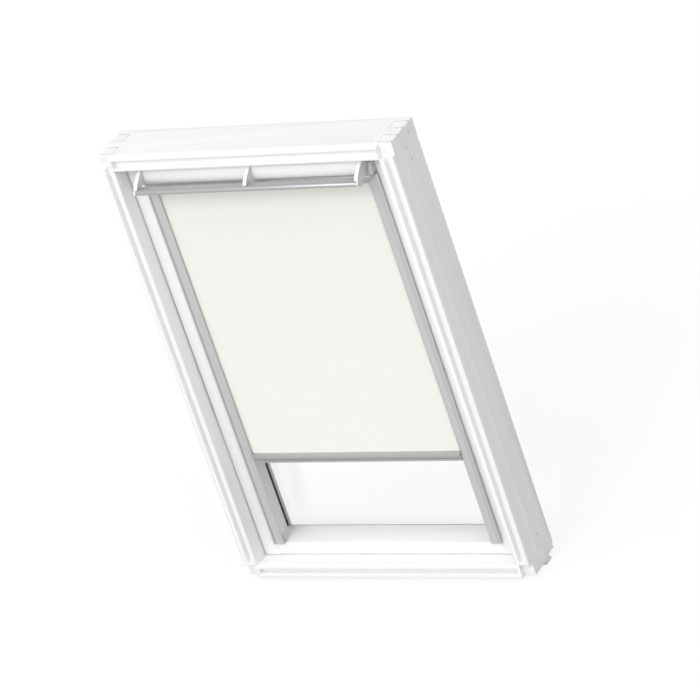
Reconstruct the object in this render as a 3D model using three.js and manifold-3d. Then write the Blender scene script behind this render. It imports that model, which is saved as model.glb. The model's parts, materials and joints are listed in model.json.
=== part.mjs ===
// A centre-pivot roof window with its roller blind fitted, shown upright.
//
// Lengths are millimetres. X runs to the right as seen from the room, Y from the room to the
// outside and Z up the window. Places are worked out from the middle of the width, the room-side
// face of the frame and the underside of the sill. The last lines move the whole window so that
// its origin is the middle of the sill's underside.

import * as THREE from 'three';
import { mergeVertices } from 'three/addons/utils/BufferGeometryUtils.js';
import Module from 'manifold-3d';

const wasm = await Module();
wasm.setup();

// Clearances and roundings that many pieces share
const fitGap = 0.3;
const tightSeam = 0.1;
const runningGap = 0.4;
const overrun = 5;
const edgeRound = 1.5;
const fineRound = 0.7;
const backRound = 2;
const filletSteps = 2;
const roundSides = 16;

// Outer frame: painted timber, comb-jointed at its corners
const frameWidth = 780;
const frameHeight = 1178;
const frameDepth = 126;
const jambWidth = 37;
const headHeight = 37;
const sillHeight = 36.5;
const liningGrooveDepth = 14;
const jambBeadWidth = 11;
const jambLipWidth = 12;
const jambGrooveShoulder = 6;
const jambLipOverlap = 5.5;
const sillLipHeight = 12;
const sillBeadHeight = 12;
const sillLipInset = 29;
const headBeadHeight = 5.5;
const headLipHeight = 9.5;
const headLipSlope = 6;
const headLipInset = 35;
const grooveEndWall = 1;

// Comb joint: bands of end grain that alternate between the jamb and the head or sill
const combStart = 19.5;
const combEnd = 17.1;
const combSeam = 0.5;
const combBandCount = 3;
const combGroove = 1.4;
const combNotchLength = 5;
const combNotchDepth = 3;

// Groove for the underlay collar along the outside of each jamb
const collarGrooveMiddle = 45.6;
const collarGrooveWidth = 3.2;
const collarGrooveDepth = 2.8;
const collarGrooveBottom = 30;

// Weathered underside of the sill and the moulded foot below each lower corner
const sillReliefHeight = 5;
const sillRebateDepth = 5;
const sillRebateHeight = 17.5;
const footSetback = 70.5;
const footDepth = 30.5;
const footBackSlope = 8;
const footHeight = 11;
const footLength = 50;

// Frame screws and the drilled holes on the top. The shares say how many comb bands each screw
// lies behind the first band, and the drops and the rise how far from the frame's top and bottom.
const upperScrewShares = [2.48, 1.544, 1.7685];
const upperScrewDrops = [22.7, 46, 79.6];
const lowerScrewShare = 1.7785;
const lowerScrewRise = 76.3;
const screwHeadRadius = 4.4;
const screwHeadHeight = 2.8;
const screwShankRadius = 2.4;
const screwLength = 28;
const screwSides = 10;
const crossReach = 2.7;
const crossWidth = 0.9;
const crossDepth = 1.2;
const drilledHoleInset = 53;
const drilledHoleSetback = 28.5;
const drilledHoleRadius = 2.2;
const drilledHoleDepth = 12;

// Sash: two stiles with the rails tenoned between them
const sashGap = 3;
const sashSetback = 43.5;
const sashProud = 5.5;
const stileWidth = 42;
const bottomRailHeight = 33;
const topRailHeight = 40;
const crownWidth = 22;
const crownDrop = 1.5;
const crownSteps = 5;
const railSeatInset = 24;
const stileSeatInset = 30.5;
const innerSlope = 4.5;
const bottomSlope = 7;
const stileRim = 28;
const bottomRim = 14;
const topRim = 20;
const tenonLength = 22;
const tenonThickness = 20;
const tenonShoulder = 6;
const tenonSetback = 16;

// Sealed glass unit and the rubber under it
const paneThickness = 4;
const paneEdgeGap = 2;
const cavityDepth = 16;
const spacerInset = 3;
const spacerWidth = 8;
const spacerDrop = 1.5;
const spacerFootDrop = 13.5;
const gasketThickness = 1.6;

// Ventilation slots through the top rail
const ventSlotInner = 62;
const ventSlotEndInset = 58;
const ventSlotHeight = 10;
const ventSlotDrop = 7.5;

// Weather seal in a groove around the sash, on the line of the pivots
const sealWidth = 6;
const sealRoot = 3;
const sealProud = 2.6;
const sealPivotGap = 72;

// Pivot hinges: one plate let into each jamb and stile, with the pin on the frame half
const pivotInset = 46;
const pivotPlateWidth = 40;
const pivotPlateHeight = 110;
const pivotPlateThickness = 3;
const pivotPinRadius = 7;
const pivotPinReach = 12;
const pivotPinWell = 1.5;
const pivotBossRadius = 16;

// Lock in the middle of the top rail, and its striker in the head
const lockInset = 30;
const lockLength = 90;
const lockDepth = 16;
const lockHeight = 30;
const lockBackWall = 9;
const tongueWidth = 24;
const tongueThickness = 6;
const tongueThrow = 8;
const strikerLength = 60;
const strikerDepth = 18;
const strikerThickness = 2;
const strikerPlay = 1.5;

// Outside covers: thin folded metal on the frame and on the sash
const sheet = 1.4;
const frameCoverInset = 9;
const frameCoverGap = 3;
const frameCoverHeight = 12;
const hoodSideInset = 19;
const hoodInset = 17;
const hoodRise = 25;
const hoodReach = 42;
const hoodLip = 6;
const apronInset = 18.5;
const apronHeight = 18;
const apronDepth = 8;
const sashCoverInset = 0.7;
const sashCoverHeight = 7;
const sashCoverLap = 8.5;
const louvreCount = 5;
const louvreWidthShare = 0.7;
const louvreHeight = 5;

// Ventilation flap. Its points, and those of the control bar and the brackets below, are
// measured from the room-side face and the top of the sash: towards the room and down count
// as negative. The returns at the flap's top and bottom reach back to the sash.
const flapEndInset = 19;
const flapSheet = 2.2;
const flapTopPoints = [[0.3, -4], [-10.5, 0], [-19.5, 0.4]];
const flapFacePoints = [[-26, -1], [-27.5, -11], [-29.8, -19], [-31.1, -28], [-29.9, -36], [-24, -43]];
const flapBottomPoints = [[-9.5, -43.4]];

// Pivot of the flap and its control bar, on a bearing at each side
const ventAxisStand = 10;
const ventAxisDrop = 34;
const ventPinRadius = 3;
const ventPinReach = 7;
const bearingWidth = 12;
const bearingDepth = 22;
const bearingDrop = 12;
const bearingRise = 17;
const ventEyeRadius = 8.8;

// Control bar: an open aluminium handle in front of the flap
const barOutsidePoints = [
  [-51.5, -35.4], [-67, -34], [-73, -35.4], [-75.1, -39.2], [-74.1, -44.4], [-59, -53.4],
];
const barInsidePoints = [[-57.9, -51.2], [-68.1, -43.6], [-68.1, -38.6], [-51.5, -37.6]];
const barCapWidth = 4.4;

// Brackets between flap and control bar: front edge, then the foot on the bar
const bracketWidth = 9;
const endBracketWidth = 9.3;
const bracketFrontPoints = [
  [-26.8, -4], [-33, -7], [-44.5, -12], [-57, -19.5], [-64.5, -25.5], [-70.3, -32.8],
];
const bracketFootPoints = [[-68.5, -33.3], [-51.5, -34.7]];
const bracketWaistPoint = [-39.5, -42.4];
const endWaistPoints = [[-39.3, -36.7], [-31.2, -40]];

// Roller blind: casing, roller, cloth, side channels and bottom bar
const blindLap = 4.8;
const channelWidth = 29.8;
const blindStand = 8.2;
const blindWall = 1.6;
const faceThickness = 3.4;
const faceEdgeWidth = 2.6;
const faceRibWidth = 5.4;
const faceGrooveWidth = 5;
const faceGrooveDepth = 2.5;
const faceGrooveSlant = 0.4;
const faceSlopeWidth = 6;
const faceSlopeDrop = 2.2;
const casingDrop = 35.5;
const casingFaceHeight = 25;
const casingBodyRise = 3.9;
const casingBodyDepth = 33;
const casingBodyInset = 10.8;
const casingSlotDepth = 9;
const casingEndThickness = 3;
const casingEndInset = 1.2;
const channelSlotDepth = 10.2;
const channelWeb = 2;
const channelLipInset = 9;
const channelLegInset = 3;
const channelWallGap = 1;
const channelFloorGap = 1;
const rollerBehindSash = 9.5;
const rollerRise = 15.5;
const rollerTubeRadius = 8.5;
const rollerTubeWall = 1;
const rollerEndInset = 8;
const rollRadius = 9.8;
const rollerPinRadius = 2.5;
const plugLength = 14;
const plugFlange = 2.5;
const springLoops = 12;
const springStepsPerLoop = 10;
const springWireRadius = 0.9;
const springWireCorners = 3;
const springLength = 120;
const clothThickness = 0.5;
const clothEndInset = 1;

// Bottom bar, as [distance behind the face of the sash, height above its underside] down its face
const barBottomAtRest = 308.5;
const bottomBarFace = [
  [-6.5, 22.4, 0.7], [-8, 20.8], [-12, 19.4, 0.7],
  [-12.5, 14.4, 0.7], [-6.5, 13.4], [-6.1, 6.4], [-8.9, 5.6, 0.7], [-8.9, 0, 0.7],
];
const bottomBarHeight = 22.4;
const bottomBarBackPlace = 1.5;
const bottomBarGap = 0.5;
const guideThickness = 9.2;
const guideReach = 17;
const guideHeight = 20;

// Values that follow from the sizes above
const frameHalf = frameWidth / 2;
const openingHalf = frameHalf - jambWidth;
const headBottom = frameHeight - headHeight;
const sashHalf = openingHalf - sashGap;
const sashInner = sashHalf - stileWidth;
const sashBottom = sillHeight + sashGap;
const sashTop = headBottom - sashGap;
const sashBack = frameDepth + sashProud;
const railSeat = sashBack - railSeatInset;
const stileSeat = sashBack - stileSeatInset;
const bottomRailTop = sashBottom + bottomRailHeight;
const topRailBottom = sashTop - topRailHeight;
const sightHalf = sashInner - innerSlope;
const sightBottom = bottomRailTop + bottomSlope;
const sightTop = topRailBottom - innerSlope;
const pivotHeight = (sashBottom + sashTop) / 2;
const gasketFront = railSeat + fitGap;
const innerPaneFront = gasketFront + gasketThickness + fitGap;
const outerPaneFront = innerPaneFront + paneThickness + cavityDepth;
const paneHalf = sashHalf - stileRim - paneEdgeGap;
const paneBottom = sashBottom + bottomRim + paneEdgeGap;
const paneTop = sashTop - topRim - paneEdgeGap;
const frameCoverSeat = frameDepth + fitGap;
const sashCoverSeat = sashBack + fitGap;
const glassCoverSeat = outerPaneFront + paneThickness + fitGap;
const coverSightHalf = paneHalf - sashCoverLap;
const sashCoverFace = sashBack + sashCoverHeight;
const combPitch = (frameDepth - combStart - combEnd) / combBandCount;
const sideScrewPlaces = [
  ...upperScrewShares.map((share, i) => [combStart + combPitch * share, frameHeight - upperScrewDrops[i]]),
  [combStart + combPitch * lowerScrewShare, lowerScrewRise],
];
const pivotSetback = frameDepth - pivotInset;
const lockSetback = frameDepth - lockInset;
const ventSlotOuter = sashInner - ventSlotEndInset;
const ventAxisSetback = sashSetback - ventAxisStand;
const ventAxisHeight = sashTop - ventAxisDrop;
const flapHalfLength = sashInner - flapEndInset;
const bracketInner = flapHalfLength + fitGap;
const barHalfLength = bracketInner + endBracketWidth;
const flapTopReturn = fromSashTop(flapTopPoints);
const flapFace = fromSashTop(flapFacePoints);
const barOutside = fromSashTop(barOutsidePoints);
const bracketFront = fromSashTop(bracketFrontPoints);
const bracketFoot = fromSashTop(bracketFootPoints);
const endBracketWaist = fromSashTop(endWaistPoints);
const blindHalfWidth = sashInner + blindLap;
const blindSetback = sashSetback - blindStand;
const casingBottom = topRailBottom - casingDrop;
const casingTop = casingBottom + casingFaceHeight;
const casingBodyTop = casingTop + casingBodyRise;
const casingBodyHalf = blindHalfWidth - casingBodyInset;
const rollerSetback = sashSetback + rollerBehindSash;
const rollerHeight = casingBottom + rollerRise;
const rollerHalfLength = casingBodyHalf - rollerEndInset;
const clothHalfWidth = rollerHalfLength - clothEndInset;
const faceBack = blindSetback + faceThickness;
const channelInner = blindHalfWidth - channelWidth;
const channelSlotBack = faceBack + channelSlotDepth;
const channelBottom = bottomRailTop + channelFloorGap;
const clothSetback = rollerSetback - rollRadius - fitGap - clothThickness;
const barTopAtRest = barBottomAtRest + bottomBarHeight;
const tubeBore = rollerTubeRadius - rollerTubeWall;
const bottomBarBack = sashSetback + bottomBarBackPlace;

// Finishes, as colour, roughness and metalness
const whitePaint = { color: 0xf6f6f3, roughness: 0.45, metalness: 0 };
const whitePlastic = { color: 0xf2f2ef, roughness: 0.4, metalness: 0 };
const greyPlastic = { color: 0xbfc1c0, roughness: 0.5, metalness: 0 };
const aluminium = { color: 0xc9cccb, roughness: 0.35, metalness: 0.9 };
const greyLacquer = { color: 0x6e7274, roughness: 0.5, metalness: 0.4 };
const zincSteel = { color: 0xb6b9bb, roughness: 0.35, metalness: 1 };
const blackRubber = { color: 0x1d1e1f, roughness: 0.8, metalness: 0 };
const clearGlass = { color: 0xeaf3f2, roughness: 0.02, metalness: 0 };
const offWhiteCloth = { color: 0xf3f4ec, roughness: 0.9, metalness: 0 };
const springSteel = { color: 0x8d8f92, roughness: 0.4, metalness: 1 };

const unitX = new THREE.Vector3(1, 0, 0);
const unitY = new THREE.Vector3(0, 1, 0);
const unitZ = new THREE.Vector3(0, 0, 1);
const model = new THREE.Group();

// Points measured from the sash's room-side face and top, with any fillet radius kept
function fromSashTop(points) {
  return points.map(([y, z, ...radius]) => [sashSetback + y, sashTop + z, ...radius]);
}

// Geometry into a solid that can be joined and cut
function toSolid(geometry) {
  geometry.deleteAttribute('normal');
  geometry.deleteAttribute('uv');
  const merged = mergeVertices(geometry);
  return new wasm.Manifold(new wasm.Mesh({
    numProp: 3,
    vertProperties: Float32Array.from(merged.attributes.position.array),
    triVerts: Uint32Array.from(merged.index.array),
  }));
}

// The same solid on the other side of the window
function mirrored(solid) {
  const mesh = solid.getMesh();
  const triVerts = Uint32Array.from(mesh.triVerts);
  for (let i = 0; i < triVerts.length; i += 3) {
    [triVerts[i + 1], triVerts[i + 2]] = [triVerts[i + 2], triVerts[i + 1]];
  }
  const vertProperties = Float32Array.from(mesh.vertProperties, (value, i) => (i % 3 ? value : -value));
  return new wasm.Manifold(new wasm.Mesh({ numProp: 3, vertProperties, triVerts }));
}

function joined(solids) {
  return solids.reduce((whole, solid) => whole.add(solid));
}

function cutBy(solid, cutters) {
  return cutters.reduce((rest, cutter) => rest.subtract(cutter), solid);
}

function bothSides(solid) {
  return solid.add(mirrored(solid));
}

function addPiece(name, solid, finish) {
  const mesh = solid.getMesh();
  const indexed = new THREE.BufferGeometry();
  indexed.setAttribute('position', new THREE.BufferAttribute(Float32Array.from(mesh.vertProperties), 3));
  indexed.setIndex(new THREE.BufferAttribute(Uint32Array.from(mesh.triVerts), 1));
  const geometry = indexed.toNonIndexed();
  geometry.computeVertexNormals();
  const piece = new THREE.Mesh(geometry, new THREE.MeshStandardMaterial(finish));
  piece.name = name;
  model.add(piece);
}

// A left and a right piece from the solid of the right one
function addPair(name, solid, finish) {
  addPiece(`${name}_right`, solid, finish);
  addPiece(`${name}_left`, mirrored(solid), finish);
}

function block(x0, x1, y0, y1, z0, z1) {
  const geometry = new THREE.BoxGeometry(x1 - x0, y1 - y0, z1 - z0);
  geometry.translate((x0 + x1) / 2, (y0 + y1) / 2, (z0 + z1) / 2);
  return toSolid(geometry);
}

// Corner points, some with a fillet radius as third value, into a plain outline
function filleted(corners) {
  return corners.flatMap(([u, v, radius = 0], i) => {
    if (radius === 0) return [[u, v]];
    const corner = new THREE.Vector2(u, v);
    const before = new THREE.Vector2(...corners.at(i - 1).slice(0, 2)).sub(corner);
    const after = new THREE.Vector2(...corners[(i + 1) % corners.length].slice(0, 2)).sub(corner);
    const halfAngle = Math.acos(before.dot(after) / before.length() / after.length()) / 2;
    const reach = Math.min(radius / Math.tan(halfAngle), before.length() / 2, after.length() / 2);
    const start = corner.clone().add(before.setLength(reach));
    const end = corner.clone().add(after.setLength(reach));
    const curve = new THREE.QuadraticBezierCurve(start, corner, end);
    return curve.getPoints(filletSteps).map((point) => [point.x, point.y]);
  });
}

function extruded(outline, length) {
  const shape = new THREE.Shape(filleted(outline).map(([u, v]) => new THREE.Vector2(u, v)));
  return new THREE.ExtrudeGeometry(shape, { depth: length, bevelEnabled: false });
}

// Outline of [y, z] points run from x0 to x1
function alongX(outline, x0, x1) {
  const geometry = extruded(outline, x1 - x0);
  geometry.applyMatrix4(new THREE.Matrix4().makeBasis(unitY, unitZ, unitX));
  geometry.translate(x0, 0, 0);
  return toSolid(geometry);
}

// Outline of [x, z] points run from y0 to y1
function alongY(outline, y0, y1) {
  const geometry = extruded(outline, y1 - y0);
  geometry.applyMatrix4(new THREE.Matrix4().makeBasis(unitX, unitZ, unitY.clone().negate()));
  geometry.translate(0, y1, 0);
  return toSolid(geometry);
}

// Outline of [x, y] points run from z0 to z1
function alongZ(outline, z0, z1) {
  const geometry = extruded(outline, z1 - z0);
  geometry.translate(0, 0, z0);
  return toSolid(geometry);
}

function rodX(y, z, radius, x0, x1) {
  const geometry = new THREE.CylinderGeometry(radius, radius, x1 - x0, roundSides);
  geometry.rotateZ(-Math.PI / 2);
  geometry.translate((x0 + x1) / 2, y, z);
  return toSolid(geometry);
}

// A flat ring between an outer and an inner rectangle, each [half width, bottom, top]
function rectangleRing(outer, inner, y0, y1) {
  const [outerHalf, outerBottom, outerTop] = outer;
  const [innerHalf, innerBottom, innerTop] = inner;
  const hole = block(-innerHalf, innerHalf, y0 - overrun, y1 + overrun, innerBottom, innerTop);
  return block(-outerHalf, outerHalf, y0, y1, outerBottom, outerTop).subtract(hole);
}

// A sheet of even thickness from the points of its outside; its inside lies to their left
function sheetProfile(points, thickness) {
  const inside = points.map(([y, z], i) => {
    const [y0, z0] = points[Math.max(i - 1, 0)];
    const [y1, z1] = points[Math.min(i + 1, points.length - 1)];
    const run = Math.hypot(y1 - y0, z1 - z0);
    return [y - (z1 - z0) / run * thickness, z + (y1 - y0) / run * thickness];
  });
  return [...points, ...inside.reverse()];
}

// A countersunk frame screw on the right, or, grown by a gap, the hole that it needs
function frameScrew([setback, height], gap) {
  const outline = [
    [0, 0],
    [screwHeadRadius + gap, 0],
    [screwHeadRadius + gap, fineRound + gap],
    [screwShankRadius + gap, screwHeadHeight + gap],
    [screwShankRadius + gap, screwLength + gap],
    [0, screwLength + gap],
  ];
  const points = outline.map(([radius, along]) => new THREE.Vector2(radius, along));
  const geometry = new THREE.LatheGeometry(points, screwSides);
  geometry.rotateZ(Math.PI / 2);
  geometry.translate(frameHalf - fitGap, setback, height);
  return toSolid(geometry);
}

function crossRecess([setback, height]) {
  const x0 = frameHalf - fitGap - crossDepth;
  const x1 = frameHalf + overrun;
  const half = crossWidth / 2;
  return joined([
    block(x0, x1, setback - crossReach, setback + crossReach, height - half, height + half),
    block(x0, x1, setback - half, setback + half, height - crossReach, height + crossReach),
  ]);
}

function screwHole(place) {
  const [setback, height] = place;
  const mouth = rodX(setback, height, screwHeadRadius + fitGap, frameHalf - fitGap * 2, frameHalf + overrun);
  return frameScrew(place, fitGap).add(mouth);
}

// One comb band, from its room side to its outside, drawn in by half a seam
function combBand(index) {
  const start = combStart + combPitch * index;
  return [start + combSeam / 2, start + combPitch - combSeam / 2];
}

// Grooves along the comb seams on the top of the right upper corner, and the notch that the
// saw leaves where each seam reaches the corner's edge
function rightCombGrooves() {
  const half = combGroove / 2;
  const groove = (middle) => [
    [middle - half, frameHeight],
    [middle, frameHeight - combGroove],
    [middle + half, frameHeight],
    [middle + half, frameHeight + overrun],
    [middle - half, frameHeight + overrun],
  ];
  const notch = [
    [frameHalf - combNotchDepth - overrun, frameHeight + overrun],
    [frameHalf + overrun, frameHeight - combNotchDepth - overrun],
    [frameHalf + overrun, frameHeight + overrun],
  ];
  const seams = Array.from({ length: combBandCount + 1 }, (_, index) => combStart + combPitch * index);
  return joined([
    ...seams.map((seam) => alongX(groove(seam), openingHalf, frameHalf + overrun)),
    ...seams.map((seam) => alongY(notch, seam - combNotchLength / 2, seam + combNotchLength / 2)),
    ...[0, 2].map((index) => alongY(groove(openingHalf), ...combBand(index))),
  ]);
}

const frontBandEnd = combStart - combSeam / 2;
const backBandStart = combStart + combPitch * combBandCount + combSeam / 2;

// What the weathered underside and its rebate take away
function sillUnderside() {
  const half = frameHalf + overrun;
  return joined([
    block(-half, half, footSetback - fitGap, frameDepth + overrun, -overrun, sillReliefHeight),
    block(-half, half, frameDepth - sillRebateDepth, frameDepth + overrun, -overrun, sillRebateHeight),
  ]);
}

// Hinge plate, or the pocket for it when grown by a gap
function pivotPlate(x0, x1, gap) {
  const halfWidth = pivotPlateWidth / 2 + gap;
  const halfHeight = pivotPlateHeight / 2 + gap;
  return alongX([
    [pivotSetback - halfWidth, pivotHeight - halfHeight, backRound],
    [pivotSetback + halfWidth, pivotHeight - halfHeight, backRound],
    [pivotSetback + halfWidth, pivotHeight + halfHeight, backRound],
    [pivotSetback - halfWidth, pivotHeight + halfHeight, backRound],
  ], x0, x1);
}

function rightFramePivot() {
  const outer = openingHalf + pivotPlateThickness;
  return joined([
    pivotPlate(openingHalf, outer, 0),
    rodX(pivotSetback, pivotHeight, pivotBossRadius, sashHalf + runningGap, outer),
    rodX(pivotSetback, pivotHeight, pivotPinRadius, openingHalf - pivotPinReach, outer),
  ]);
}

function rightSashPivot() {
  const pinHole = rodX(pivotSetback, pivotHeight, pivotPinRadius + fitGap, sashInner, openingHalf);
  return pivotPlate(sashHalf - pivotPlateThickness, sashHalf, 0).subtract(pinHole);
}

function rightJamb() {
  const lipInner = frameHalf - jambLipWidth;
  const beadOuter = openingHalf + jambBeadWidth;
  const body = alongZ([
    [openingHalf, 0, edgeRound],
    [beadOuter, 0, edgeRound],
    [beadOuter, liningGrooveDepth],
    [lipInner, liningGrooveDepth],
    [lipInner, 0, edgeRound],
    [frameHalf, 0, edgeRound],
    [frameHalf, frameDepth, backRound],
    [openingHalf, frameDepth, backRound],
  ], sillHeight + tightSeam, headBottom - tightSeam);
  const lipEnd = alongZ([
    [lipInner, 0, edgeRound],
    [frameHalf, 0, edgeRound],
    [frameHalf, liningGrooveDepth - fitGap],
    [lipInner, liningGrooveDepth - fitGap],
  ], headBottom - overrun, headBottom + jambLipOverlap);
  const shoulder = block(beadOuter - edgeRound, lipInner + edgeRound, 0, liningGrooveDepth + edgeRound,
    sillHeight + tightSeam, sillHeight + jambGrooveShoulder);
  const fingers = [0, 2].flatMap((index) => {
    const [front, back] = combBand(index);
    return [
      block(openingHalf + tightSeam, frameHalf, front, back, 0, sillHeight + overrun),
      block(openingHalf + tightSeam, frameHalf, front, back, headBottom - overrun, frameHeight),
    ];
  });
  const grooveFront = collarGrooveMiddle - collarGrooveWidth / 2;
  const collarGroove = alongZ([
    [frameHalf + overrun, grooveFront],
    [frameHalf - collarGrooveDepth, grooveFront],
    [frameHalf, grooveFront + collarGrooveWidth],
    [frameHalf + overrun, grooveFront + collarGrooveWidth],
  ], collarGrooveBottom, frameHeight + overrun);
  return cutBy(joined([body, lipEnd, shoulder, ...fingers]), [
    collarGroove,
    rightCombGrooves(),
    sillUnderside(),
    pivotPlate(openingHalf - overrun, openingHalf + pivotPlateThickness + fitGap, fitGap),
    ...sideScrewPlaces.map(screwHole),
  ]);
}

// The right end of the sill or head: a front without lining groove that stops short by the
// inset, a corner block that lies further back, and the comb fingers
function rightCorner(frontOutline, inset, bottom, top) {
  const start = openingHalf - grooveEndWall;
  return joined([
    alongX(frontOutline, start, frameHalf - inset),
    block(start, frameHalf, liningGrooveDepth, frontBandEnd, bottom, top),
    block(start, frameHalf, ...combBand(1), bottom, top),
    block(start, frameHalf, backBandStart, frameDepth, bottom, top),
  ]);
}

function frameSill() {
  const beadBottom = sillHeight - sillBeadHeight;
  const body = alongX([
    [0, 0, edgeRound],
    [0, sillLipHeight, edgeRound],
    [liningGrooveDepth, sillLipHeight],
    [liningGrooveDepth, beadBottom],
    [0, beadBottom, edgeRound],
    [0, sillHeight, edgeRound],
    [frameDepth, sillHeight, backRound],
    [frameDepth, 0, backRound],
  ], -openingHalf, openingHalf);
  const corner = rightCorner([
    [0, 0, edgeRound],
    [0, sillHeight, edgeRound],
    [frontBandEnd, sillHeight],
    [frontBandEnd, 0],
  ], sillLipInset, 0, sillHeight);
  return body.add(bothSides(corner)).subtract(sillUnderside());
}

function frameHead() {
  const beadTop = headBottom + headBeadHeight;
  const lipBottom = frameHeight - headLipHeight;
  const lipFront = frameHeight - headLipSlope;
  const body = alongX([
    [0, headBottom, edgeRound],
    [0, beadTop, edgeRound],
    [liningGrooveDepth, beadTop],
    [liningGrooveDepth, lipBottom],
    [0, lipBottom],
    [0, lipFront, fineRound],
    [liningGrooveDepth, frameHeight, edgeRound],
    [frameDepth, frameHeight, backRound],
    [frameDepth, headBottom, backRound],
  ], -openingHalf, openingHalf);
  const corner = rightCorner([
    [0, headBottom, edgeRound],
    [0, lipFront, fineRound],
    [liningGrooveDepth, frameHeight],
    [frontBandEnd, frameHeight],
    [frontBandEnd, headBottom],
  ], headLipInset, headBottom, frameHeight);
  return cutBy(body.add(bothSides(corner)), [
    bothSides(rightCombGrooves()),
    strikerPlate(fitGap),
    strikerWell(),
    bothSides(drilledHole()),
  ]);
}

function drilledHole() {
  const length = drilledHoleDepth + overrun;
  const geometry = new THREE.CylinderGeometry(drilledHoleRadius, drilledHoleRadius, length, screwSides);
  geometry.rotateX(Math.PI / 2);
  geometry.translate(frameHalf - drilledHoleInset, drilledHoleSetback,
    frameHeight - drilledHoleDepth + length / 2);
  return toSolid(geometry);
}

function rightFoot() {
  const back = footSetback + footDepth;
  return alongX([
    [footSetback, sillReliefHeight - fitGap],
    [back - footBackSlope, sillReliefHeight - fitGap],
    [back, -footHeight, edgeRound],
    [footSetback, -footHeight, edgeRound],
  ], frameHalf - footLength, frameHalf);
}

// Striker plate under the head, or the pocket for it when grown by a gap
function strikerPlate(gap) {
  const halfLength = strikerLength / 2 + gap;
  const halfDepth = strikerDepth / 2 + gap;
  return block(-halfLength, halfLength, lockSetback - halfDepth, lockSetback + halfDepth,
    headBottom - gap, headBottom + strikerThickness + gap);
}

// Hole through the striker and well above it that take the tongue
function strikerWell() {
  const halfWidth = tongueWidth / 2 + strikerPlay;
  const halfDepth = tongueThickness / 2 + strikerPlay;
  return block(-halfWidth, halfWidth, lockSetback - halfDepth, lockSetback + halfDepth,
    headBottom - overrun, sashTop + tongueThrow + strikerPlay);
}

// Folded cover on the outside of a jamb: two legs on the timber and a face between them
function rightFrameCover() {
  const outer = frameHalf - frameCoverInset;
  const inner = openingHalf + frameCoverGap;
  const face = frameDepth + frameCoverHeight;
  return alongZ([
    [outer, frameCoverSeat],
    [outer, face, edgeRound],
    [inner, face, edgeRound],
    [inner, frameCoverSeat],
    [inner + sheet, frameCoverSeat],
    [inner + sheet, face - sheet],
    [outer - sheet, face - sheet],
    [outer - sheet, frameCoverSeat],
  ], apronInset + apronHeight + fitGap, headBottom - hoodLip);
}

// Hood over the head: a sheet that stands off from the top of the sash
function frameHood() {
  const half = frameHalf - hoodSideInset;
  const back = frameDepth + hoodRise;
  const top = frameHeight - hoodInset;
  const bottom = top - hoodReach;
  return alongX([
    [frameCoverSeat, top],
    [back, top, edgeRound],
    [back, bottom, edgeRound],
    [back - hoodLip, bottom],
    [back - hoodLip, bottom + sheet],
    [back - sheet, bottom + sheet],
    [back - sheet, top - sheet],
    [frameCoverSeat + sheet, top - sheet],
    [frameCoverSeat + sheet, headBottom + backRound],
    [frameCoverSeat, headBottom + backRound],
  ], -half, half);
}

// Apron profile below the sash, on the outside of the sill
function frameApron() {
  const half = frameHalf - frameCoverInset;
  const top = apronInset + apronHeight;
  return alongX([
    [frameCoverSeat, apronInset],
    [frameCoverSeat, top],
    [frameCoverSeat + apronDepth, top - edgeRound, fineRound],
    [frameCoverSeat + apronDepth, top - edgeRound - sheet, fineRound],
    [frameCoverSeat + sheet, top - sheet],
    [frameCoverSeat + sheet, apronInset],
  ], -half, half);
}

// Crowned room-side edge of a sash member: points from the flat face out to the dropped edge
function crown(flatPlace, edgePlace) {
  return Array.from({ length: crownSteps + 1 }, (_, i) => {
    const share = i / crownSteps;
    return [flatPlace + (edgePlace - flatPlace) * share, sashSetback + crownDrop * share * share];
  });
}

function swapped(points) {
  return points.map(([u, v]) => [v, u]);
}

// Upper or lower length of the seal, or its groove when grown by a gap; both are U-shaped and
// stop short of the pivots
function sashSeal(upper, gap) {
  const outer = sashHalf + sealProud;
  const root = sashHalf - sealRoot - gap;
  const y0 = pivotSetback - sealWidth / 2 - gap;
  const y1 = pivotSetback + sealWidth / 2 + gap;
  const legEnd = sealPivotGap - gap;
  const [legBottom, legTop] = upper
    ? [pivotHeight + legEnd, sashTop + sealProud]
    : [sashBottom - sealProud, pivotHeight - legEnd];
  const [crossBottom, crossTop] = upper
    ? [sashTop - sealRoot - gap, legTop]
    : [legBottom, sashBottom + sealRoot + gap];
  const leg = block(root, outer, y0, y1, legBottom, legTop);
  return joined([leg, mirrored(leg), block(-outer, outer, y0, y1, crossBottom, crossTop)]);
}

// Tenon on the right end of a rail, or its mortise when grown by a gap
function tenon([bottom, top], gap) {
  const y0 = sashSetback + tenonSetback;
  return block(sashInner - overrun, sashInner + tenonLength + gap, y0 - gap, y0 + tenonThickness + gap,
    bottom + tenonShoulder - gap, top - tenonShoulder + gap);
}

const bottomTenonSpan = [sashBottom, bottomRailTop];
const topTenonSpan = [topRailBottom, sashTop - topRim];

// Sloping inner wall that the stile shows between the rails
function stileSplay() {
  const splay = alongZ([
    [sashInner + overrun, sashSetback + edgeRound],
    [sashInner, sashSetback + edgeRound],
    [sightHalf, stileSeat],
    [sashInner + overrun, stileSeat],
  ], sashBottom, sashTop);
  const belowOpening = [
    [sashSetback, sashBottom - overrun],
    [sashSetback, bottomRailTop + tightSeam],
    [railSeat, sightBottom + tightSeam],
    [railSeat, sashBottom - overrun],
  ];
  const aboveOpening = [
    [sashSetback, sashTop + overrun],
    [sashSetback, topRailBottom - tightSeam],
    [railSeat, sightTop - tightSeam],
    [railSeat, sashTop + overrun],
  ];
  return cutBy(splay, [belowOpening, aboveOpening].map((outline) => alongX(outline, 0, frameHalf)));
}

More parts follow.
